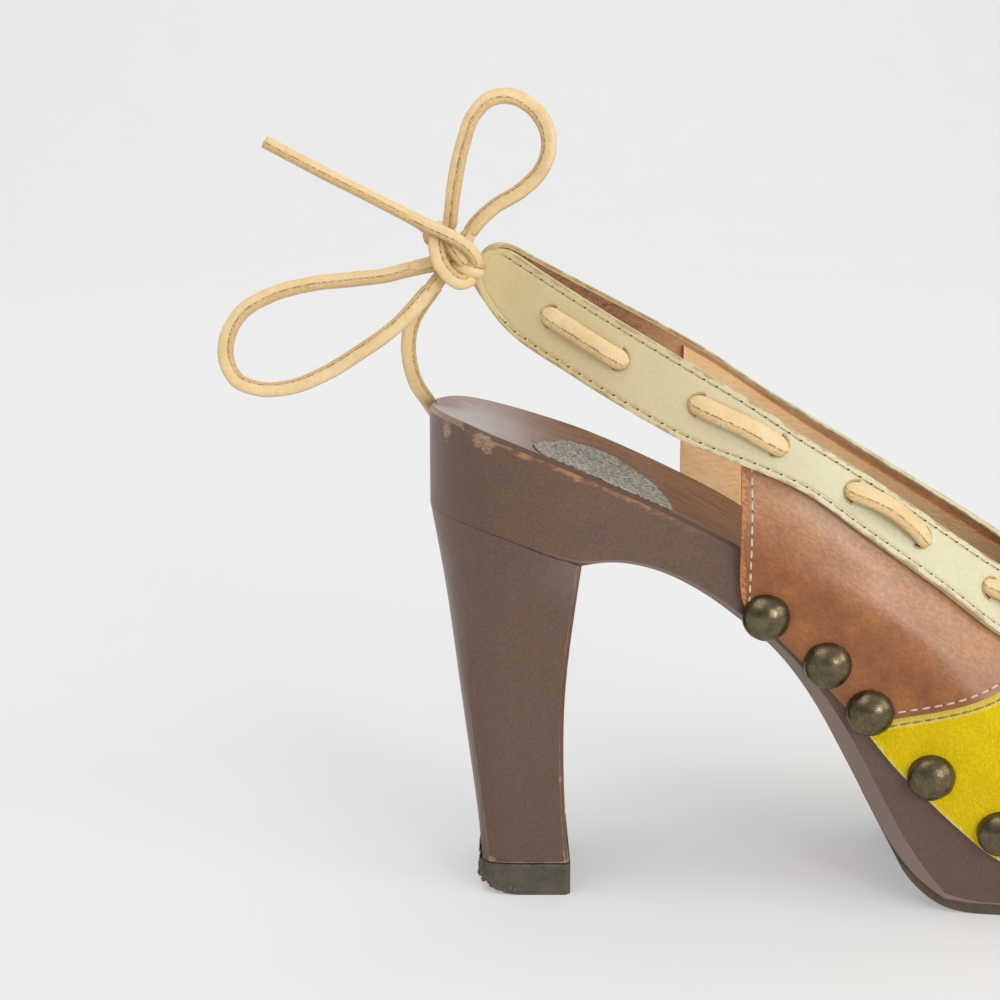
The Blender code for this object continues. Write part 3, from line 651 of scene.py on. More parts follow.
KNOT_INSIDE = (6.0, 0.0, 151.0)
KNOT_WIDTH = 3.7 * MM
CROSSING_WIDTH = 3.0 * MM
KNOT_THICK = 2.4 * MM

turns = []
for name, route in KNOT_TURNS.items():
    places = [at(*point) for point in route]
    facing = KNOT_FACING.get(name, (TOWARDS_VIEWER, KNOT_LAST_FACING))
    width = CROSSING_WIDTH if name == "knot_top" else KNOT_WIDTH
    strand, _ = lace_strand(name, places, facing, at(*KNOT_INSIDE), width, KNOT_THICK, ROUND_END)
    turns.append(strand)
select_only(turns[0])
for turn in turns:
    turn.select_set(True)
bpy.ops.object.join()
knot = turns[0]
knot.name = "lace_knot_turns"
dress(knot, "lace_leather", lace_leather)
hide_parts("lace_knot")
print("turns in the knot:", len(KNOT_TURNS))

# %% [markdown]
# ## Copies of the frame's nodes
# A node of the frame is a coarse mesh of loose triangles. A copy is merged, its triangles are
# joined into quads, its sharp edges are creased, and a Subdivision Surface makes it fine. The
# sharp edges also serve twice more: stitches follow them, and wear is painted by the distance to
# them, so they are read off the coarse copy first.

# %% Copy, edges and fine surface
MERGE = 0.01 * MM
QUAD_ANGLE = math.radians(70)
CORNER_TURN = math.radians(50)


def node_copy(node, name):
    """A merged copy of a node's mesh, in quads, with no finish."""
    piece = bpy.data.objects.new(name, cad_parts[node].data.copy())
    bpy.context.collection.objects.link(piece)
    piece.data.materials.clear()
    edit(piece)
    bpy.ops.mesh.select_all(action="SELECT")
    bpy.ops.mesh.customdata_custom_splitnormals_clear()
    bpy.ops.mesh.remove_doubles(threshold=MERGE)
    bpy.ops.mesh.tris_convert_to_quads(face_threshold=QUAD_ANGLE, shape_threshold=QUAD_ANGLE)
    leave_edit()
    return piece


def crease_edges(piece, angle, value=1.0):
    """Crease the edges that are sharper than an angle, given in degrees."""
    edit(piece, "EDGE")
    bpy.ops.mesh.edges_select_sharp(sharpness=math.radians(angle))
    bpy.ops.transform.edge_crease(value=value)
    leave_edit()


def split_at_turns(run):
    """A run of points cut wherever it turns a corner."""
    ways = np.diff(run, axis=0)
    ways /= np.linalg.norm(ways, axis=1)[:, None]
    corners = np.flatnonzero((ways[:-1] * ways[1:]).sum(axis=1) < math.cos(CORNER_TURN)) + 1
    stops = [0, *corners, len(run) - 1]
    return [run[first:last + 1] for first, last in zip(stops[:-1], stops[1:])]


def sharp_runs(piece, angle):
    """The edges sharper than an angle, as ordered runs of points from corner to corner."""
    grid = bmesh.new()
    grid.from_mesh(piece.data)
    limit = math.radians(angle)
    meeting = {}
    for side in grid.edges:
        if side.is_manifold and side.calc_face_angle() > limit:
            for corner in side.verts:
                meeting.setdefault(corner, []).append(side)
    runs = []
    used = set()
    junctions = [corner for corner, sides in meeting.items() if len(sides) != 2]
    for corner in junctions + list(meeting):
        for side in meeting[corner]:
            if side in used:
                continue
            run = [corner]
            while True:
                used.add(side)
                run.append(side.other_vert(run[-1]))
                if run[-1] == corner or len(meeting[run[-1]]) != 2:
                    break
                side = [other for other in meeting[run[-1]] if other != side][0]
            runs += split_at_turns(np.array([tuple(stop.co) for stop in run]))
    grid.free()
    return runs


def keep_edge_distance(piece, runs, name="edge_mm"):
    """Keep each point's distance to the nearest of the runs, in millimetres."""
    stops = np.concatenate([resample(run, 0.5 * MM) for run in runs])
    tree = KDTree(len(stops))
    for number, stop in enumerate(stops):
        tree.insert(stop, number)
    tree.balance()
    store(piece.data, name, [tree.find(point.co)[2] / MM for point in piece.data.vertices])


def surface_of(piece):
    """A tree for finding the nearest place on a piece, or the place that a ray hits."""
    points = [point.co for point in piece.data.vertices]
    return BVHTree.FromPolygons(points, [face.vertices for face in piece.data.polygons])


# %% [markdown]
# ## Wood
# Board and heel are carved from a close-grained wood and sprayed a satin dark brown, so the grain
# hardly shows. The stain is rubbed off along the edges, where bare wood shows as a pale
# orange-brown line. The footbed is paler and streaked, and its seat is polished by wear. The distances
# to the edges are stored on the meshes, because a Bevel node can't be exported.

# %% Group: wood fibres
fibre_group, fibre_in, fibre_out = new_group(
    "wood_fibres", {"Place": (0.0, 0.0, 0.0), "Squeeze": (1.0, 1.0, 1.0)},
    {"Tone": "NodeSocketFloat", "Pores": "NodeSocketFloat"})
along_grain = stretch(fibre_group, fibre_in["Place"], fibre_in["Squeeze"])
fibre_group.links.new(speckle(fibre_group, along_grain, 2.4, 6.0), fibre_out["Tone"])
pores = step(fibre_group, speckle(fibre_group, along_grain, 0.3, 1.0), 0.60, 0.75)
fibre_group.links.new(pores, fibre_out["Pores"])


# %% Stained wood
# Where the stain has flaked off beside the pad, in shoe millimetres.
FLAKE = (24.9, -4.0, 0.0)


def stained_wood(name, squeeze, scuff_spots):
    """Dark stain over wood whose grain is long where squeeze is small; scuffs are x, y, z and reach."""
    material, tree, place = new_finish(name, Coat_Roughness=0.2)
    along = axis_of(tree, place, "X")
    upright = axis_of(tree, place, "Z")
    upward = axis_of(tree, add_node(tree, "ShaderNodeTexCoord", {}).outputs["Normal"], "Z")
    rim = own_value(tree, "rim_mm")
    behind = fade(tree, along, 4.0, 12.0)
    footbed = step(tree, raised(tree, upward, behind, 0.3), 0.78, 0.84)
    rim_face = times(tree, lit_between(tree, upward, 0.3, 0.42, 0.76, 0.82), fade(tree, rim, 1.2, 2.4))
    rim_face = times(tree, rim_face, minus(tree, 1.0, footbed))

    # Stain, grain and grit, and painted shade that darkens the wood towards the floor.
    fibres = use_group(tree, fibre_group, Place=place, Squeeze=squeeze)
    clouds = mottled(tree, place, 18.0, 2.0)
    grit = mottled(tree, place, 0.5, 5.0)
    streaks = step(tree, speckle(tree, stretch(tree, place, (0.05, 1.0, 0.3)), 1.3, 4.0), 0.40, 0.66)
    colour = mix(tree, fibres["Tone"], tone(97, 70, 53), tone(115, 86, 67))
    # Painted shade: the wood is darker towards the floor.
    colour = paint(tree, colour, fade(tree, upright, 0.0, 70.0), 0.35, tone(84, 59, 45))
    colour = paint(tree, colour, clouds, 0.35, tone(106, 77, 58))
    colour = paint(tree, colour, footbed, 0.75, mix(tree, streaks, tone(160, 117, 82), tone(130, 91, 62)))
    colour = paint(tree, colour, grit, 0.42, tone(70, 50, 38))
    colour = paint(tree, colour, fibres["Pores"], 0.14, tone(56, 40, 30))

    # Rubbed edges, and a painted reflection that makes the chamfer underneath pale.
    worn_edge = fade(tree, own_value(tree, "worn_mm"), 0.1, 0.4)
    worn_edge = times(tree, worn_edge, step(tree, speckle(tree, place, 5.0, 5.0), 0.32, 0.5))
    at_foot = fade(tree, upright, 9.0, 12.0)
    worn_edge = times(tree, worn_edge, raised(tree, 0.28, at_foot, 0.5))
    colour = mix(tree, worn_edge, colour, tone(190, 150, 122))
    # Painted reflection: the chamfer, which faces the floor, is painted paler.
    chamfer = lit_between(tree, upward, -0.92, -0.85, -0.4, -0.2)
    colour = paint(tree, colour, chamfer, 0.55, tone(142, 120, 106))

    # Bare wood below the rim, the flake beside the pad, the dark rim and the joint.
    flaking = speckle(tree, stretch(tree, place, (0.6, 1.0, 1.4)), 1.6, 6.0)
    ragged = raised(tree, rim, speckle(tree, place, 6.0, 6.0), 4.0)
    strip = times(tree, fade(tree, ragged, 2.6, 3.4), fade(tree, upward, 0.1, 0.3))
    strip = times(tree, strip, lit_between(tree, along, 2.0, 8.0, 46.0, 70.0))
    bare_wood = mix(tree, step(tree, flaking, 0.35, 0.65), tone(112, 72, 44), tone(170, 122, 82))
    colour = paint(tree, colour, strip, 0.85, bare_wood)
    from_flake = length_of(tree, stretch(tree, measured_from(tree, place, FLAKE), (1.0, 0.28, 0.0)))
    from_flake = raised(tree, from_flake, flaking, 1.6)
    flake = times(tree, footbed, fade(tree, from_flake, 1.2, 1.5))
    colour = paint(tree, colour, flake, 0.8, tone(48, 36, 30))
    colour = paint(tree, colour, rim_face, 0.5, tone(72, 48, 36))
    joint = times(tree, fade(tree, own_value(tree, "joint_mm"), 0.14, 0.32), step(tree, along, 10.0, 24.0))
    colour = paint(tree, colour, joint, 0.9, tone(38, 26, 20))

    # Scuffs.
    scuffed = mix(tree, grit, tone(206, 176, 146), tone(150, 116, 88))
    for *spot, reach in scuff_spots:
        away = length_of(tree, measured_from(tree, place, tuple(spot)))
        near = minus(tree, 1.0, maths(tree, "DIVIDE", away, reach))
        bare = step(tree, raised(tree, near, flaking, 1.1), 0.75, 1.15)
        colour = paint(tree, colour, bare, 0.5, scuffed)

    # The seat is polished by wear and carries a painted pale grey reflection, and the footbed in front of it
    # is dull.
    seat = times(tree, footbed, fade(tree, along, 4.0, 34.0))
    seat = times(tree, seat, raised(tree, 0.7, fibres["Tone"], 0.3))
    # Painted reflection: the seat's gloss is painted in as a pale grey.
    colour = paint(tree, colour, seat, 0.35, tone(160, 140, 126))
    dull = times(tree, footbed, step(tree, along, 16.0, 40.0))
    varnish = times(tree, maths(tree, "MAXIMUM", seat, chamfer), 0.75)
    varnish = raised(tree, varnish, minus(tree, 1.0, dull), 0.22)
    tree.links.new(varnish, tree.nodes["Principled BSDF"].inputs["Coat Weight"])
    roughness = raised(tree, 0.44, clouds, 0.14)
    roughness = minus(tree, roughness, times(tree, seat, 0.1))
    roughness = raised(tree, roughness, dull, 0.3)
    height = minus(tree, fibres["Tone"], times(tree, fibres["Pores"], 0.6))
    wire(tree, colour, roughness, height, 0.025)
    return material


SEAT_SCUFFS = [
    (4.6, -17.3, 113.0, 2.8), (4.4, -17.1, 110.5, 0.8), (11.6, -25.6, 112.0, 2.6), (14.0, -26.6, 111.2, 2.8)]
HEEL_SCUFFS = [(15.0, -17.0, 8.4, 1.6), (31.5, -20.0, 30.0, 1.2)]
board_wood = stained_wood("stained_wood_board", (0.12, 1.0, 0.6), SEAT_SCUFFS)
heel_wood = stained_wood("stained_wood_heel", (1.0, 1.0, 0.12), HEEL_SCUFFS)
print("scuffs on the wood:", len(SEAT_SCUFFS) + len(HEEL_SCUFFS))

# %% Carved pieces
ARCH = (80.0, 130.0)
FRONT_DEPTH = 6.0


def sharp_numbers(piece, angle):
    """Numbers of the edges that are sharper than an angle, given in degrees."""
    grid = bmesh.new()
    grid.from_mesh(piece.data)
    limit = math.radians(angle)
    found = {side.index for side in grid.edges if side.is_manifold and side.calc_face_angle() > limit}
    grid.free()
    return found


def edge_ends(piece, side):
    """The two ends of an edge, in shoe millimetres."""
    return [shoe_mm(piece.data.vertices[number].co) for number in side.vertices]


def crease_round(piece, angle):
    """Crease the sharp edges that run round a piece, and not those across the curve of the arch."""
    sharp = sharp_numbers(piece, angle)

    def runs_round(side):
        first, second = edge_ends(piece, side)
        across = abs((second - first).normalized().y) > 0.9
        return side.index in sharp and not (across and ARCH[0] < first.x < ARCH[1])

    edit_chosen(piece, "EDGE", runs_round)
    bpy.ops.transform.edge_crease(value=1.0)
    leave_edit()


def chamfer_front(piece, width):
    """Take the two upright front corners off a block."""
    front = shoe_mm(max(piece.data.vertices, key=lambda point: point.co.x).co).x - FRONT_DEPTH
    sharp = sharp_numbers(piece, 60)

    def upright(side):
        first, second = edge_ends(piece, side)
        stands = abs((second - first).normalized().z) > 0.7
        return side.index in sharp and min(first.x, second.x) > front and stands

    edit_chosen(piece, "EDGE", upright)
    bpy.ops.mesh.bevel(offset=width, segments=1, affect="EDGES")
    leave_edit()


def carved(piece, node, levels, angle):
    """Give a copy of a hard node its fine surface with crisp edges, and keep its edge distances."""
    runs = sharp_runs(piece, angle)
    crease_round(piece, angle)
    apply_modifier(piece, "SUBSURF", levels=levels, render_levels=levels)
    keep_edge_distance(piece, runs)
    select_only(piece)
    bpy.ops.object.shade_smooth_by_angle(angle=math.radians(20))
    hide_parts(node)
    print(piece.name, "faces:", len(piece.data.polygons), "runs:", [len(run) for run in runs])
    return runs


# %% Board
RIM_DROP = 5.0 * MM
FAR_AWAY = 50.0
RAY_HEIGHT = 0.3

board = node_copy("sole_board", "wooden_board")
board_runs = carved(board, "sole_board", levels=3, angle=18)
dress(board, "stained_wood", board_wood)
board_surface = surface_of(board)


def on_rim(stop):
    """Whether a point of a sharp edge lies at the footbed's height."""
    above = Vector((stop[0] + 0.1 * MM, MIDDLE, RAY_HEIGHT))
    top = board_surface.ray_cast(above, Vector((0, 0, -1)))[0]
    return top is not None and stop[2] > top.z - RIM_DROP


def keep_far(piece, name):
    """Keep a large distance on a piece that hasn't got such an edge."""
    store(piece.data, name, [FAR_AWAY] * len(piece.data.vertices))


rim_runs = [run for run in board_runs if sum(on_rim(stop) for stop in run) > len(run) / 2]
keep_edge_distance(board, rim_runs, "rim_mm")
keep_far(board, "joint_mm")
keep_far(board, "worn_mm")
print("runs on the rim:", [len(run) for run in rim_runs])

# %% Heel, closed against the board
JOINT_HEIGHT = 80.0
JOINT_CLOSE = 0.25
HEEL_CHAMFER = 0.9 * MM

heel = node_copy("heel_block", "wooden_heel")
for point in heel.data.vertices:
    if shoe_mm(point.co).z > JOINT_HEIGHT:
        point.co.z += JOINT_CLOSE * MM
chamfer_front(heel, HEEL_CHAMFER)
heel_runs = carved(heel, "heel_block", levels=3, angle=30)
dress(heel, "stained_wood", heel_wood)
at_joint = [run for run in heel_runs if run[:, 2].min() > JOINT_HEIGHT * MM]
keep_edge_distance(heel, at_joint, "joint_mm")
keep_edge_distance(heel, [run for run in heel_runs if run[:, 2].min() < JOINT_HEIGHT * MM], "worn_mm")
keep_far(heel, "rim_mm")

# %% [markdown]
# ## Rubber
# The heel tip is a slab of hard black-brown rubber. Its back corner has been walked off and is
# crumbling, so its lowest points are raised there and roughened with noise. The outsole is a
# thinner sheet under the forefoot; Shrinkwrap lays its upper side on the board.

# %% Rubber finishes
def worn_rubber(name, dark, pale):
    """Dull rubber with scraped edges and dust."""
    material, tree, place = new_finish(name)
    blotches = mottled(tree, place, 5.0, 2.4)
    dust = mottled(tree, place, 0.8, 4.0)
    colour = paint(tree, mix(tree, blotches, dark, pale), dust, 0.35, tone(108, 100, 86))
    colour = paint(tree, colour, worn_edges(tree, place, 0.6, 3.0, 0.62), 0.4, tone(128, 114, 98))
    pits = raised(tree, dust, blotches, 0.6)
    wire(tree, colour, raised(tree, 0.55, dust, 0.3), pits, 0.08)
    return material


tip_rubber = worn_rubber("tip_rubber", tone(58, 56, 46), tone(92, 82, 68))
sole_rubber = worn_rubber("sole_rubber", tone(68, 52, 40), tone(94, 74, 57))

# %% Tip and outsole
TIP_CHAMFER = 1.1 * MM
TIP_HEIGHT = 7.7
CORNER_WEAR = 3.0
CORNER_REACH = 4.5
CRUMBS = 0.7
GLUED_WAY = Vector((0.6, 0, 0.8))
GLUE_GAP = 0.02 * MM

tip = node_copy("heel_tip", "rubber_tip")
chamfer_front(tip, TIP_CHAMFER)
carved(tip, "heel_tip", levels=4, angle=30)
tip_back = shoe_mm(min(tip.data.vertices, key=lambda point: point.co.x).co).x
for point in tip.data.vertices:
    spot = shoe_mm(point.co)
    behind = math.exp(-((spot.x - tip_back) / CORNER_REACH) ** 2)
    low = 1 - spot.z / TIP_HEIGHT
    rough = CRUMBS * behind * (noise.noise(spot * 0.9) + 0.7 * noise.noise(spot * 2.1))
    point.co.x += MM * rough
    point.co.z = max(0, point.co.z + MM * low * (CORNER_WEAR * behind + rough))
dress(tip, "tip_rubber", tip_rubber)
outsole = node_copy("outsole", "rubber_outsole")
carved(outsole, "outsole", levels=3, angle=30)
glued = outsole.vertex_groups.new(name="glued_side")
for face in outsole.data.polygons:
    if face.normal.dot(GLUED_WAY) > 0.5:
        glued.add(list(face.vertices), 1.0, "REPLACE")
apply_modifier(outsole, "SHRINKWRAP", target=board, vertex_group="glued_side", offset=GLUE_GAP)
dress(outsole, "sole_rubber", sole_rubber)

# %% [markdown]
# ## The upper
# One shell of yellow suede, rough side out, closes the toe. Over its back half lies a quarter of
# smooth brown leather on each side, sewn on with white thread. The seam between them climbs from
# the nailed margin to the band. The shell is a fine copy of the node; the quarters are made from
# the same surface, cut along the seam, so that they lie exactly on it.

# %% Seam line and leather classes
SEAM_LINE = [
    (96.0, 46.4), (100.0, 47.2), (107.0, 48.9), (116.6, 51.3), (130.0, 55.9), (145.0, 62.6),
    (165.0, 73.0), (185.0, 84.0)]
OUTSIDE, LINING, CUT_EDGE = range(3)
# Edges of a shell that turn by more degrees than this are its sharp ones.
LEATHER_EDGE = 55
# Axis inside the foot, for telling the lining from the outside: x and z in shoe millimetres. In
# front of the toe's centre, the outside faces away from that centre.
FOOT_AXIS = [(0.0, 125.0), (60.0, 96.0), (100.0, 74.0), (130.0, 42.0), (215.0, 40.0)]
TOE_CENTRE = 180.0


def line_at(line, x):
    """Height of a line of x and z pairs at one x."""
    return float(np.interp(x, [stop[0] for stop in line], [stop[1] for stop in line]))


def sort_leather(piece, angle):
    """Mark each face of a shell as outside, lining or cut edge, by its place and its sharp edges."""
    grid = bmesh.new()
    grid.from_mesh(piece.data)
    limit = math.radians(angle)
    for face in grid.faces:
        sharp = [side for side in face.edges if side.is_manifold and side.calc_face_angle() > limit]
        opposite = any(not set(first.verts) & set(second.verts) for first in sharp for second in sharp)
        centre = shoe_mm(face.calc_center_median())
        inward = Vector((min(centre.x, TOE_CENTRE), 0, line_at(FOOT_AXIS, centre.x))) - centre
        lining = face.normal.dot(inward) > 0
        face.material_index = CUT_EDGE if opposite else LINING if lining else OUTSIDE
    grid.to_mesh(piece.data)
    grid.free()


vamp = node_copy("upper", "suede_vamp")
upper_runs = sharp_runs(vamp, LEATHER_EDGE)
sort_leather(vamp, LEATHER_EDGE)
crease_edges(vamp, LEATHER_EDGE)
apply_modifier(vamp, "SUBSURF", levels=3, render_levels=3)
print("runs of sharp edges on the upper:", [len(run) for run in upper_runs])
classes = [face.material_index for face in vamp.data.polygons]
print("faces outside, of the lining and of cut edges:", [classes.count(kind) for kind in range(3)])

# %% Soft creases
# Each row: x, z, lean, half length, half width, depth. The lean is in degrees, the rest in shoe
# millimetres.
CREASE_COLUMNS = ("x", "z", "lean", "length", "width", "depth")
CREASE_ROWS = [
    (92.0, 84.0, -28.0, 20.0, 5.0, 0.45),
    (108.0, 66.0, -34.0, 16.0, 4.5, 0.40),
    (128.0, 44.0, -40.0, 14.0, 5.0, 0.45),
    (150.0, 46.0, 70.0, 14.0, 4.0, 0.50),
    (162.0, 42.0, 76.0, 13.0, 4.5, 0.50)]
STUD_NAMES = sorted(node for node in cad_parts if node.startswith("stud_"))
STUD_PLACES = [shoe_mm(sum(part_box(node), Vector()) / 2) for node in STUD_NAMES]
STUD_DIMPLE = 0.2
DIMPLE_REACH = 7.5


def crease_depth(spot):
    """How far the leather sinks at a spot, in millimetres: troughs with a soft ridge on each side."""
    depth = 0.0
    for row in CREASE_ROWS:
        crease = dict(zip(CREASE_COLUMNS, row))
        lean = math.radians(crease["lean"])
        away_x = spot.x - crease["x"]
        away_z = spot.z - crease["z"]
        along = (away_x * math.cos(lean) + away_z * math.sin(lean)) / crease["length"]
        across = (away_z * math.cos(lean) - away_x * math.sin(lean)) / crease["width"]
        depth += crease["depth"] * (1 - across ** 2) * math.exp(-along ** 2 - across ** 2)
    for stud in STUD_PLACES:
        depth += STUD_DIMPLE * math.exp(-((spot - stud).length / DIMPLE_REACH) ** 2)
    return depth


QUARTER_THICK = 0.65
TUCK_DEPTH = 0.4
TUCK_REACH = 4.0
BULGE = 1.3
BULGE_PLACE = 15.0
BULGE_REACH = 9.0


def shape_leather(piece, band_edge):
    """Press the creases in, tuck the upper in under the band's lower edge, and let it swell below."""
    tree = KDTree(len(band_edge))
    for number, stop in enumerate(band_edge):
        tree.insert(stop, number)
    tree.balance()
    for point in piece.data.vertices:
        spot = shoe_mm(point.co)
        inward = Vector((0, -spot.y, line_at(FOOT_AXIS, spot.x) - spot.z)).normalized()
        to_band = tree.find(point.co)[2] / MM
        tuck = TUCK_DEPTH * math.exp(-(to_band / TUCK_REACH) ** 2)
        swell = BULGE * math.exp(-((to_band - BULGE_PLACE) / BULGE_REACH) ** 2)
        point.co += inward * ((crease_depth(spot) + tuck - swell) * MM)


def long_runs(runs, count):
    """The longest runs, each turned to start on the outer side of the foot."""
    longest = sorted(runs, key=len)[-count:]
    return [run if run[0][1] < run[-1][1] else run[::-1] for run in longest]


def outer_pair(runs):
    """The low and the high run of the outer side, out of four: two outer, two inner."""
    by_height = sorted(runs, key=lambda run: run[:, 2].mean())
    return [max(pair, key=lambda run: run[:, 0].max()) for pair in (by_height[:2], by_height[2:])]


band = node_copy("band", "topline_band")
band_runs = sharp_runs(band, LEATHER_EDGE)
low_run, high_run = outer_pair(long_runs(band_runs, 4))
shape_leather(vamp, resample(low_run, 1 * MM))
print("runs of sharp edges on the band:", [len(run) for run in band_runs])

# %% [markdown]
# ## Quarters
# The quarter's outer face is the shell's own. It is given its thickness inwards with Solidify,
# and a Boolean with a side-view prism cuts it along the seam. Under the quarter the suede steps
# down by the same thickness, so that the edge of the brown leather stands proud of the suede.

# %% Brown quarters
quarter = vamp.copy()
quarter.data = vamp.data.copy()
quarter.name = "brown_quarter"
bpy.context.collection.objects.link(quarter)
edit_chosen(quarter, "FACE", lambda face: face.material_index != OUTSIDE)
bpy.ops.mesh.delete(type="FACE")
leave_edit()
apply_modifier(quarter, "SOLIDIFY", thickness=QUARTER_THICK * MM, offset=-1, material_offset_rim=1)

# %% Seam cutter
CUT_LOW = -20.0
CUT_FRONT = 260.0
CUT_HALF_WIDTH = 70.0


def seam_cutter(line):
    """A prism that fills everything below and in front of a line, right across the shoe."""
    outline = [(line[0][0], CUT_LOW)] + line + [(CUT_FRONT, line[-1][1]), (CUT_FRONT, CUT_LOW)]
    mesh = bpy.data.meshes.new("seam_cutter")
    mesh.from_pydata([at(x, -CUT_HALF_WIDTH, z) for x, z in outline], [], [list(range(len(outline)))])
    cutter = bpy.data.objects.new("seam_cutter", mesh)
    bpy.context.collection.objects.link(cutter)
    edit(cutter, "FACE")
    bpy.ops.mesh.select_all(action="SELECT")
    bpy.ops.mesh.extrude_region_move(TRANSFORM_OT_translate={"value": (0, 2 * CUT_HALF_WIDTH * MM, 0)})
    bpy.ops.mesh.select_all(action="SELECT")
    bpy.ops.mesh.normals_make_consistent(inside=False)
    leave_edit()
    return cutter


smooth_seam = [tuple(shoe_mm(stop))[::2] for stop in smooth_path([at(x, 0, z) for x, z in SEAM_LINE], 2 * MM)]
cutter = seam_cutter(smooth_seam)
apply_modifier(quarter, "BOOLEAN", object=cutter, operation="DIFFERENCE", solver="EXACT")
bpy.data.objects.remove(cutter)
print("quarter faces:", len(quarter.data.polygons))

# %% Suede steps down under the quarter
STEP_RUN = 4.0
STEP_GAP = 0.05
# The runs up the back edges have more points than the first number and fewer than the second.
BACK_POINTS = (6, 14)


def below_seam(spot):
    """Distance below the seam, in millimetres; less than nothing on the quarter's side."""
    slope = line_at(smooth_seam, spot.x + 1) - line_at(smooth_seam, spot.x)
    drop = (line_at(smooth_seam, spot.x) - spot.z) / math.hypot(1, slope)
    return min(drop, spot.x - SEAM_LINE[0][0]) if spot.x < SEAM_LINE[0][0] + 3 else drop


def step_down(piece):
    """Sink the outside of the shell where the quarter covers it, and keep the seam distance."""
    normals = {}
    for face in piece.data.polygons:
        if face.material_index == OUTSIDE:
            for number in face.vertices:
                normals[number] = normals.get(number, Vector()) + face.normal
    seam = [below_seam(shoe_mm(point.co)) for point in piece.data.vertices]
    for number, normal in normals.items():
        share = min(max(seam[number] / STEP_RUN, 0.0), 1.0)
        covered = 1 - share * share * (3 - 2 * share)
        sink = (QUARTER_THICK + STEP_GAP) * covered
        piece.data.vertices[number].co -= normal.normalized() * (sink * MM)
    store(piece.data, "seam_mm", seam)


step_down(vamp)
keep_edge_distance(vamp, upper_runs)
keep_edge_distance(quarter, upper_runs)
back_runs = [run for run in upper_runs if BACK_POINTS[0] < len(run) < BACK_POINTS[1]]
keep_edge_distance(quarter, back_runs, "back_mm")
keep_edge_distance(quarter, [low_run], "band_mm")
print("back runs:", [[round(value, 1) for value in shoe_mm(run.mean(axis=0))] for run in back_runs])
for shell in (vamp, quarter):
    select_only(shell)
    bpy.ops.object.shade_smooth_by_angle(angle=math.radians(40))

# %% [markdown]
# ## Leather finishes
# Brown leather is smooth and burnished, with a painted sheen below the band that also stands for
# leather rubbed paler there, and a painted shadow right under the band's edge; it is darker in its
# pores and along its edges. Suede is dull and soft, a strong yellow with a nap that the hand has
# brushed about. The lining is tan, raw edges are orange-brown and fibrous, and the yellow suede has
# a pale skived strip along the seam.

# %% Brown leather and cut edges
brown_leather, tree, place = new_finish(
    "brown_leather", Coat_Weight=0.7, Coat_Roughness=0.36, Coat_IOR=1.6, Specular_IOR_Level=0.25)
slanting = {"Vector": place, "Rotation": (0, math.radians(38), 0), "Scale": (1.6, 1.0, 0.8)}
slanting = add_node(tree, "ShaderNodeMapping", slanting, vector_type="TEXTURE").outputs[0]
flecks = mottled(tree, slanting, 0.8, 4.0)
brown = mix(tree, mottled(tree, place, 8.0, 2.8), tone(134, 70, 18), tone(170, 103, 36))
from_band = own_value(tree, "band_mm")
# Painted sheen: a pale warm tint below the band, which also stands for leather rubbed paler there.
brown = paint(tree, brown, fade(tree, from_band, 4.0, 19.0), 0.4, tone(226, 176, 128))
brown = paint(tree, brown, flecks, 0.36, tone(106, 53, 14))
# Painted shadow: a dark line right under the band's lower edge.
brown = paint(tree, brown, fade(tree, from_band, 0.4, 2.2), 0.45, tone(92, 50, 24))
brown = paint(tree, brown, worn_edges(tree, place, 2.4, 6.0, 0.55), 0.4, tone(120, 72, 44))
from_back = raised(tree, own_value(tree, "back_mm"), speckle(tree, place, 1.2), 0.9)
fibrous = mix(tree, flecks, tone(212, 138, 74), tone(150, 84, 38))
brown = paint(tree, brown, fade(tree, from_back, 1.7, 2.0), 0.85, fibrous)
brown_height = minus(tree, grained(tree, place, 0.9), flecks)
wire(tree, brown, raised(tree, 0.36, flecks, 0.2), brown_height, 0.045)


def raw_leather(name, dark, pale, behind_seam=None, on_sling=None):
    """The fibrous cut edge, or the flesh side, of a hide.

    Behind the seam, or on the sling behind the quarters, it may have two other tones.
    """
    material, tree, place = new_finish(name, Roughness=0.85)
    fibres = mottled(tree, stretch(tree, place, (0.4, 1.0, 1.0)), 0.9, 3.0)
    pores = step(tree, speckle(tree, place, 0.55, 1.0), 0.54, 0.68)
    colour = mix(tree, mottled(tree, place, 9.0, 2.0), dark, pale)
    colour = paint(tree, colour, fibres, 0.35, dark)
    colour = paint(tree, colour, pores, 0.35, dark)
    if behind_seam:
        quarter_side = fade(tree, own_value(tree, "seam_mm"), -0.5, 0.5)
        colour = mix(tree, quarter_side, colour, mix(tree, fibres, *behind_seam))
    if on_sling:
        sling = fade(tree, axis_of(tree, place, "X"), 44.0, 64.0)
        colour = mix(tree, sling, colour, mix(tree, maths(tree, "MAXIMUM", fibres, pores), *on_sling))
    wire(tree, colour, height=fibres, bump=0.1)
    return material


CUT_TONES = (tone(150, 92, 52), tone(196, 138, 88))
SLING_TONES = (tone(166, 118, 82), tone(116, 78, 50))
cut_edge = raw_leather("cut_leather_edge", *CUT_TONES)
tan_lining = raw_leather("tan_lining", tone(236, 188, 134), tone(252, 218, 170))
brown_lining = raw_leather("brown_lining", tone(168, 120, 80), tone(214, 168, 120), on_sling=SLING_TONES)
suede_edge = raw_leather("suede_edge", tone(190, 158, 52), tone(226, 206, 120), CUT_TONES)

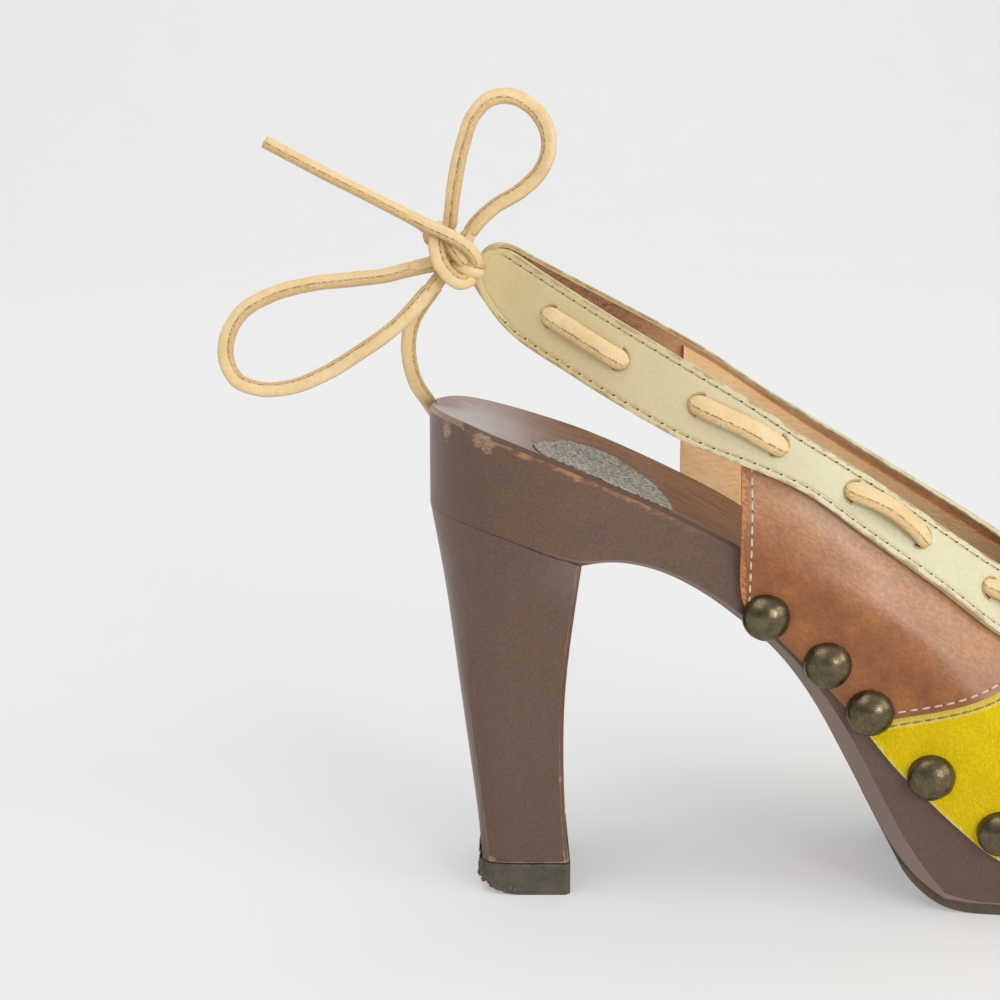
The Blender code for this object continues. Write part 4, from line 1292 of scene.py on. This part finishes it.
# %% Yellow suede
yellow_suede, tree, place = new_finish(
    "yellow_suede", Roughness=0.95, Specular_IOR_Level=0.15, Sheen_Weight=0.05, Sheen_Roughness=0.5)
nap = mottled(tree, place, 0.8, 4.2)
suede = mix(tree, mottled(tree, place, 16.0, 2.4), tone(220, 190, 10), tone(240, 210, 16))
suede = paint(tree, suede, nap, 0.45, tone(204, 172, 6))
from_seam = raised(tree, own_value(tree, "seam_mm"), speckle(tree, place, 2.0), 0.8)
suede = paint(tree, suede, fade(tree, from_seam, 2.6, 3.1), 0.8, tone(230, 206, 104))
suede = paint(tree, suede, worn_edges(tree, place, 0.8, 0.9, 0.5), 0.7, tone(232, 214, 130))
wire(tree, suede, height=plus(tree, nap, speckle(tree, place, 0.35)), bump=0.16)

dress(vamp, "upper_leather", yellow_suede, tan_lining, suede_edge)
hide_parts("upper")
dress(quarter, "upper_leather", brown_leather, cut_edge)

# %% [markdown]
# ## The band
# A strip of pale leather follows the topline and goes on round the heel as the sling. It is
# stitched along both edges. The node gives its run; the row of stitches lies in a shallow groove,
# made by insetting the outer faces three times, down and up again.

# %% Band with its stitch grooves
GROOVE_IN = 1.3 * MM
GROOVE_SIDE = 0.35 * MM
GROOVE_DEEP = 0.22 * MM
FOLDED_EDGE = 0.5 * MM
LINING_DEEP = 0.25 * MM
BAND_CREASE = 0.45

sort_leather(band, LEATHER_EDGE)
crease_edges(band, LEATHER_EDGE, BAND_CREASE)
edit_chosen(band, "FACE", lambda face: face.material_index == OUTSIDE)
bpy.ops.mesh.inset(thickness=GROOVE_IN, depth=0)
bpy.ops.mesh.inset(thickness=GROOVE_SIDE, depth=-GROOVE_DEEP)
bpy.ops.mesh.inset(thickness=GROOVE_SIDE, depth=GROOVE_DEEP)
leave_edit()
edit_chosen(band, "FACE", lambda face: face.material_index == LINING)
bpy.ops.mesh.inset(thickness=FOLDED_EDGE, depth=0)
bpy.ops.mesh.inset(thickness=LINING_DEEP, depth=-LINING_DEEP)
leave_edit()
for face in band.data.polygons:
    face.material_index = LINING if face.select else OUTSIDE
apply_modifier(band, "SUBSURF", levels=2, render_levels=2)
keep_edge_distance(band, band_runs)
select_only(band)
bpy.ops.object.shade_smooth_by_angle(angle=math.radians(50))
print("band faces:", len(band.data.polygons))

# %% Pale band leather
pale_leather, tree, place = new_finish("pale_band_leather", Coat_Weight=0.12, Coat_Roughness=0.4)
flecks = mottled(tree, place, 1.0, 3.0)
towards_toe = step(tree, axis_of(tree, place, "X"), 20.0, 95.0)
pale = mix(tree, towards_toe, tone(218, 196, 142), tone(220, 214, 180))
cloudy = mix(tree, towards_toe, tone(228, 212, 166), tone(214, 206, 164))
pale = paint(tree, pale, mottled(tree, place, 12.0, 2.0), 0.5, cloudy)
pale = paint(tree, pale, flecks, 0.22, tone(200, 176, 124))
pale = paint(tree, pale, worn_edges(tree, place, 0.7, 5.0, 0.5), 0.7, tone(166, 136, 84))
wire(tree, pale, raised(tree, 0.42, flecks, 0.2), grained(tree, place, 0.7), 0.03)

dress(band, "band_leather", pale_leather, brown_lining)
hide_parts("band")

# %% [markdown]
# ## Lace bars and slits
# The lace goes in and out of slits in the band, so nine short bars of it show. Each bar follows
# its node and dives into the band at both ends. A slit is a crescent of painted shade with a raised
# lip round the end of the bar, modelled once from two halves of a torus and copied to both ends of
# each bar.

# %% Bars
BAR_NODES = sorted(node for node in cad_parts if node.startswith("lace_bar_"))
BAR_RING = 6
BAR_WIDTH = 4.7 * MM
BAR_THICK = 1.7 * MM
BAR_SINK = 0.95 * MM
BAR_DIVE = 0.7 * MM
BAR_ROUND = 2.4 * MM
SLIT_BACK = 0.35 * MM
BAR_LEAN = Vector((0, 0, 0.3))
band_surface = surface_of(band)


def bar_middle_line(node):
    """Middle points of a bar's rings, in order along it."""
    copy = node_copy(node, "bar_rings")
    points = np.array([tuple(point.co) for point in copy.data.vertices])
    bpy.data.objects.remove(copy)
    axis = np.linalg.svd(points - points.mean(axis=0))[2][0]
    rings = points[np.argsort(points @ axis)].reshape(-1, BAR_RING, 3)
    return [Vector(ring) for ring in rings.mean(axis=1)]


def outward(place):
    """The band's outward direction nearest to a place, and the place on its surface."""
    foot, normal, _, _ = band_surface.find_nearest(place)
    return foot, normal


slit_places = []
for node in BAR_NODES:
    middle = bar_middle_line(node)
    for last, before in ((0, 1), (-1, -2)):
        tangent = (middle[last] - middle[before]).normalized()
        foot, normal = outward(middle[last] - tangent * (BAR_ROUND + SLIT_BACK))
        slit_places.append((foot, normal, tangent))
    facing = (outward(middle[0])[1] + BAR_LEAN, outward(middle[-1])[1] + BAR_LEAN)
    middle = [stop - outward(stop)[1] * BAR_SINK for stop in middle]
    for last in (0, -1):
        middle[last] = middle[last] - outward(middle[last])[1] * BAR_DIVE
    below = middle[0] - Vector((0, 0, 1))
    strand, _ = lace_strand(node + "_strand", middle, facing, below, BAR_WIDTH, BAR_THICK, BAR_ROUND)
    dress(strand, "lace_leather", lace_leather)
    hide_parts(node)
print("bars:", len(BAR_NODES), "slits:", len(slit_places))

# %% One slit, copied
SLIT_RADIUS = 2.25 * MM
SLIT_GAP = 0.22 * MM
SLIT_LIP = 0.3 * MM

# Painted shade: the dark inside of the slits and of the needle holes.
painted_gap_shade, tree, place = new_finish("painted_gap_shade", Roughness=0.9)
wire(tree, mix(tree, speckle(tree, place, 0.6), tone(70, 52, 30), tone(116, 92, 56)))


def merged_copies(name, model, places):
    """One mesh that holds a copy of a model at each of the given matrices."""
    points = np.array([tuple(point.co) for point in model.data.vertices])
    faces = [list(face.vertices) for face in model.data.polygons]
    kinds = [face.material_index for face in model.data.polygons]
    all_points = []
    all_faces = []
    for number, place in enumerate(places):
        turn = np.array(place)
        all_points.append(points @ turn[:3, :3].T + turn[:3, 3])
        all_faces += [[spot + number * len(points) for spot in face] for face in faces]
    mesh = bpy.data.meshes.new(name)
    mesh.from_pydata(np.concatenate(all_points).tolist(), [], all_faces)
    mesh.polygons.foreach_set("material_index", kinds * len(places))
    mesh.shade_smooth()
    piece = bpy.data.objects.new(name, mesh)
    bpy.context.collection.objects.link(piece)
    return piece


def basis(place, along, out):
    """A matrix at a place with its first axis along and its third axis out."""
    out = Vector(out).normalized()
    along = Vector(along)
    along = (along - out * along.dot(out)).normalized()
    return Matrix.Translation(place) @ Matrix((along, out.cross(along), out)).transposed().to_4x4()


def half_ring(radius, thick, flat, kind):
    """The front half of a flattened ring, with one finish."""
    bpy.ops.mesh.primitive_torus_add(
        major_radius=radius, minor_radius=thick, major_segments=28, minor_segments=8)
    ring = bpy.context.object
    edit(ring)
    bpy.ops.mesh.select_all(action="SELECT")
    bpy.ops.mesh.bisect(plane_co=(0, 0, 0), plane_no=(1, 0, 0), clear_inner=True, use_fill=True)
    bpy.ops.mesh.select_all(action="SELECT")
    bpy.ops.transform.resize(value=(1, 1, flat))
    leave_edit()
    ring.data.materials.append(pale_leather)
    ring.data.materials.append(painted_gap_shade)
    for face in ring.data.polygons:
        face.material_index = kind
    return ring


slit = half_ring(SLIT_RADIUS + SLIT_GAP + SLIT_LIP, SLIT_LIP, flat=0.7, kind=0)
gap = half_ring(SLIT_RADIUS + SLIT_GAP * 0.4, SLIT_GAP, flat=0.5, kind=1)
select_only(slit)
gap.select_set(True)
bpy.ops.object.join()
slit_matrices = [basis(foot, tangent, normal) for foot, normal, tangent in slit_places]
slits = merged_copies("band_slits", slit, slit_matrices)
bpy.data.objects.remove(slit)
dress(slits, "band_leather", pale_leather, painted_gap_shade)

# %% [markdown]
# ## Studs
# The upper is nailed to the wood with dome-headed studs of dark antique brass. One dome is turned
# from half a sphere with a short skirt and a few dents from the hammer, and copied to the place
# of each stud in the frame, standing square on its node's flat base.

# %% Antique brass
antique_brass, tree, place = new_finish("antique_brass")
tarnish = mottled(tree, place, 2.6, 2.6)
pits = mottled(tree, place, 0.7, 3.0)
brass = mix(tree, tarnish, tone(96, 86, 66), tone(124, 110, 84))
brass = paint(tree, brass, pits, 0.4, tone(70, 62, 48))
metallic = minus(tree, 1.0, times(tree, tarnish, 0.25))
tree.links.new(metallic, tree.nodes["Principled BSDF"].inputs["Metallic"])
wire(tree, brass, raised(tree, 0.2, pits, 0.16), pits, 0.016)

# %% One dome
STUD_RADIUS = 5.5 * MM
STUD_HEIGHT = 4.2 * MM
STUD_SKIRT = 0.5 * MM
STUD_SINK = Matrix.Translation((0, 0, -0.35 * MM))
STUD_TURN = 1.7
# Dents from the hammer: the share of the radius and the size of each kind.
DENTS = ((0.0192, 3.2 * MM), (0.0096, 1.3 * MM))

bpy.ops.mesh.primitive_uv_sphere_add(segments=40, ring_count=24, radius=STUD_RADIUS)
dome = bpy.context.object
edit(dome)
bpy.ops.mesh.select_all(action="SELECT")
bpy.ops.mesh.bisect(plane_co=(0, 0, 0), plane_no=(0, 0, 1), clear_inner=True)
leave_edit()
edit_chosen(dome, "VERT", lambda point: abs(point.co.z) < 0.001 * MM)
bpy.ops.mesh.extrude_region_move(TRANSFORM_OT_translate={"value": (0, 0, -STUD_SKIRT)})
bpy.ops.mesh.edge_face_add()
leave_edit()
for point in dome.data.vertices:
    if point.co.z > 0:
        point.co.z *= STUD_HEIGHT / STUD_RADIUS
        point.co *= 1 + sum(share * noise.noise(point.co / reach) for share, reach in DENTS)


def stud_place(node):
    """Where a stud stands: the middle of its flat base, with its third axis through the dome."""
    copy = node_copy(node, "stud_base")
    grid = bmesh.new()
    grid.from_mesh(copy.data)
    bpy.data.objects.remove(copy)
    groups = {}
    for face in grid.faces:
        key = tuple(round(value, 2) for value in face.normal)
        groups[key] = groups.get(key, 0) + face.calc_area()
    down = Vector(max(groups, key=groups.get)).normalized()
    flat = {face for face in grid.faces if face.normal.dot(down) > 0.99}
    base = [point.co for point in grid.verts if flat.intersection(point.link_faces)]
    middle = sum(base, Vector()) / len(base)
    grid.free()
    return basis(middle, (0, 0, 1), -down)


for number, node in enumerate(STUD_NAMES):
    turned = Matrix.Rotation(number * STUD_TURN, 4, "Z")
    stud = merged_copies(node + "_dome", dome, [stud_place(node) @ STUD_SINK @ turned])
    dress(stud, "stud_brass", antique_brass)
    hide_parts(node)
bpy.data.objects.remove(dome)
print("studs:", len(STUD_NAMES))

# %% [markdown]
# ## Crumbs
# The worn corner of the heel tip sheds crumbs of rubber and holds a few grains of grit. One crumb
# is a lumpy ball; its copies sit on the tip's surface round that corner.

# %% Crumbs and grit on the heel tip
LOWEST_CRUMB = 0.9 * MM
CRUMB_COUNT = 70
CRUMB_SIZE = 0.42 * MM
GRIT_COUNT = 30
GRIT_SIZE = 0.19 * MM
GRIT_SHIFT = 0.3
# The fractions of the multiples of these numbers spread evenly between 0 and 1.
SPREAD_ROUND = 0.618
SPREAD_UP = 0.4142
SPREAD_SIZE = 0.755
tip_surface = surface_of(tip)
pale_grit, tree, place = new_finish("pale_grit", Roughness=0.9)
wire(tree, mix(tree, speckle(tree, place, 0.4), tone(128, 124, 108), tone(190, 186, 172)))


def corner_places(count, size, shift):
    """Places round the tip's worn corner, spread evenly, each with its own size and turn."""
    places = []
    for number in range(count):
        round_corner = (number * SPREAD_ROUND + shift) % 1
        height = 0.4 + 5.0 * ((number * SPREAD_UP + shift) % 1) * (1 - 0.7 * round_corner)
        near = at(tip_back + 9 * round_corner ** 2, -4 - 13 * math.sqrt(round_corner), height)
        foot = tip_surface.find_nearest(near)[0]
        foot.z = max(foot.z, LOWEST_CRUMB)
        scale = Matrix.Scale(size * (0.6 + (number * SPREAD_SIZE) % 1), 4)
        places.append(Matrix.Translation(foot) @ Matrix.Rotation(number, 4, "X") @ scale)
    return places


bpy.ops.mesh.primitive_ico_sphere_add(subdivisions=2, radius=1)
crumb = bpy.context.object
for point in crumb.data.vertices:
    point.co *= 1 + 0.6 * noise.noise(point.co * 1.6)
crumbs = merged_copies("tip_crumbs", crumb, corner_places(CRUMB_COUNT, CRUMB_SIZE, 0.0))
dress(crumbs, "tip_rubber", tip_rubber)
grit = merged_copies("tip_grit", crumb, corner_places(GRIT_COUNT, GRIT_SIZE, GRIT_SHIFT))
dress(grit, "tip_rubber", pale_grit)
bpy.data.objects.remove(crumb)
print("crumbs:", CRUMB_COUNT, "grains of grit:", GRIT_COUNT)

# %% [markdown]
# ## Stitches
# Two rows of tan thread hold the band, white thread holds the quarters, and olive thread shows in the
# suede. A stitch is a capsule a few millimetres long with a needle hole of painted shade at its end.
# It is modelled once with few faces and copied along each row, laid on the surface that it sews.

# %% One stitch
def thread(name, pale, dark):
    """Twisted sewing thread."""
    material, tree, place = new_finish(name, Roughness=0.75)
    twist = mottled(tree, place, 0.35, 3.0)
    wire(tree, mix(tree, twist, dark, pale), height=twist, bump=0.04)
    return material


white_thread = thread("white_thread", tone(232, 216, 200), tone(190, 168, 146))
olive_thread = thread("olive_thread", tone(176, 152, 60), tone(128, 106, 40))
band_thread = thread("band_thread", tone(206, 184, 134), tone(168, 142, 92))


def stitch_model(length, width, hole):
    """A stitch lying along its first axis, with a needle hole of painted shade beyond its end."""
    bpy.ops.mesh.primitive_uv_sphere_add(segments=8, ring_count=6, radius=0.5)
    stitch = bpy.context.object
    for point in stitch.data.vertices:
        swell = math.copysign(abs(point.co.x * 2) ** 0.6, point.co.x)
        point.co = Vector((swell * length / 2, point.co.y * width, point.co.z * width * 0.8))
    bpy.ops.mesh.primitive_uv_sphere_add(segments=8, ring_count=4, radius=hole / 2)
    eye = bpy.context.object
    for point in eye.data.vertices:
        slanted = point.co.x + 0.35 * point.co.y
        point.co = Vector((slanted + length / 2 + hole * 0.3, point.co.y * 0.6, point.co.z * 0.25))
    # Painted shade: the needle hole takes the dark finish of the gaps.
    for face in eye.data.polygons:
        face.material_index = 1
    for item in (stitch, eye):
        item.data.materials.append(white_thread)
        item.data.materials.append(painted_gap_shade)
    stitch.select_set(True)
    bpy.context.view_layer.objects.active = stitch
    bpy.ops.object.join()
    return stitch


def stitch_row(run, surface, pitch):
    """Places for stitches along a run of points, laid on a surface."""
    stops = resample(run, pitch)
    places = []
    for start, end in zip(stops[:-1], stops[1:]):
        middle = Vector((start + end) / 2)
        foot, normal, _, _ = surface.find_nearest(middle)
        places.append(basis(foot, Vector(end - start), normal))
    return places


# %% Stitches on the band
EDGE_ROW = 1.65 * MM
BAND_PITCH = 3.2 * MM
# Length and width of a stitch, and the width of its needle hole.
BAND_STITCH = (2.2 * MM, 0.36 * MM, 0.8 * MM)

across = high_run - low_run
share = EDGE_ROW / np.linalg.norm(across, axis=1)[:, None]
rows = [low_run + across * share, high_run - across * share]
stitch = stitch_model(*BAND_STITCH)
places = [place for row in rows for place in stitch_row(row[1:-1], band_surface, BAND_PITCH)]
band_stitches = merged_copies("band_stitches", stitch, places)
bpy.data.objects.remove(stitch)
dress(band_stitches, "band_leather", band_thread, painted_gap_shade)
print("band stitches:", len(places))

# %% Stitches on the quarters
SEAM_ROW = 1.45
SEAM_PITCH = 2.75 * MM
SEAM_STITCH = (2.0 * MM, 0.52 * MM, 0.55 * MM)
quarter_surface = surface_of(quarter)
vamp_surface = surface_of(vamp)


def on_side(surface, x, z, side):
    """Place on one side of the shoe at an x and z: -1 is the outer side, 1 the inner one."""
    return surface.ray_cast(at(x, side * CUT_HALF_WIDTH, z), Vector((0, -side, 0)))[0]


def seam_run(surface, shift, first, last, side):
    """A run along the seam, shifted up by some millimetres, from one x to another."""
    stops = []
    for x in np.arange(first, last, 1.0):
        slope = line_at(smooth_seam, x + 1) - line_at(smooth_seam, x)
        run = math.hypot(1, slope)
        spot = on_side(surface, x - shift * slope / run, line_at(smooth_seam, x) + shift / run, side)
        if spot is not None:
            stops.append(spot)
    return stops


SEAM_STRETCH = (102.0, 142.0)
SUEDE_ROW = -1.7
white_places = []
olive_places = []
for side in (-1, 1):
    white_run = seam_run(quarter_surface, SEAM_ROW, *SEAM_STRETCH, side)
    olive_run = seam_run(vamp_surface, SUEDE_ROW, *SEAM_STRETCH, side)
    white_places += stitch_row(white_run, quarter_surface, SEAM_PITCH)
    olive_places += stitch_row(olive_run, vamp_surface, SEAM_PITCH)

# %% Stitches up the back edges
BACK_ROW = 2.3
for side in (-1, 1):
    own = [run for run in back_runs if (run.mean(axis=0)[1] - MIDDLE) * side > 0]
    edge = max(own, key=lambda run: abs(run.mean(axis=0)[1] - MIDDLE))
    stops = [shoe_mm(stop) for stop in resample(edge, 1.0 * MM)]
    hits = [on_side(quarter_surface, stop.x + BACK_ROW, stop.z, side) for stop in stops]
    white_places += stitch_row([hit for hit in hits if hit is not None], quarter_surface, SEAM_PITCH)
stitch = stitch_model(*SEAM_STITCH)
quarter_stitches = merged_copies("quarter_stitches", stitch, white_places)
dress(quarter_stitches, "upper_leather", white_thread, painted_gap_shade)
vamp_stitches = merged_copies("vamp_stitches", stitch, olive_places)
dress(vamp_stitches, "upper_leather", olive_thread, painted_gap_shade)
bpy.data.objects.remove(stitch)
print("white stitches:", len(white_places), "olive stitches:", len(olive_places))

# %% [markdown]
# ## Felt pad
# A worn oval of grey felt is glued on the footbed under the heel, trimmed along the outer rim. It is
# a grid whose far corners and outer end are deleted along a ragged line, laid on the board with
# Shrinkwrap and thickened with Solidify.

# %% Pad
PAD_MIDDLE = (41.0, -14.0)
PAD_HALF = (16.3, 29.0)
PAD_CUT = -0.434
PAD_THICK = 0.3 * MM
PAD_LIFT = 0.2 * MM
PAD_ABOVE = 170.0
PAD_CELLS = 110
FUZZ_HIGH = 0.12 * MM
FUZZ_SIZE = 1.6 * MM

bpy.ops.mesh.primitive_grid_add(x_subdivisions=PAD_CELLS, y_subdivisions=PAD_CELLS, size=2)
pad = bpy.context.object
pad.name = "felt_pad"


def ragged_oval(face):
    """Whether a face lies outside the pad's worn outline."""
    centre = face.center
    fray = 0.05 * noise.noise(Vector((centre.x * 3, centre.y * 3, 0.7))) + 0.02 * noise.noise(centre * 14)
    return math.hypot(centre.x, centre.y) > 0.97 + fray or centre.y < PAD_CUT + fray


edit_chosen(pad, "FACE", ragged_oval)
bpy.ops.mesh.delete(type="FACE")
leave_edit()
for point in pad.data.vertices:
    along = PAD_MIDDLE[0] + PAD_HALF[0] * point.co.x
    sideways = PAD_MIDDLE[1] + PAD_HALF[1] * point.co.y
    point.co = at(along, sideways, PAD_ABOVE)
apply_modifier(pad, "SHRINKWRAP", target=board, wrap_method="PROJECT", use_project_z=True,
               use_negative_direction=True, use_positive_direction=False, offset=PAD_LIFT)
apply_modifier(pad, "SOLIDIFY", thickness=PAD_THICK, offset=0)
for point in pad.data.vertices:
    point.co.z += FUZZ_HIGH * noise.noise(point.co / FUZZ_SIZE)

# %% Grey felt
grey_felt, tree, place = new_finish("grey_felt", Roughness=1.0)
fibres = mottled(tree, place, 0.9, 6.5)
felt = mix(tree, mottled(tree, place, 8.0, 2.5), tone(182, 172, 154), tone(206, 200, 186))
felt = paint(tree, felt, fibres, 0.85, tone(98, 94, 84))
wire(tree, felt, height=fibres, bump=0.15)
dress(pad, "upper_leather", grey_felt)
select_only(pad)
bpy.ops.object.shade_smooth()
print("pad faces:", len(pad.data.polygons))
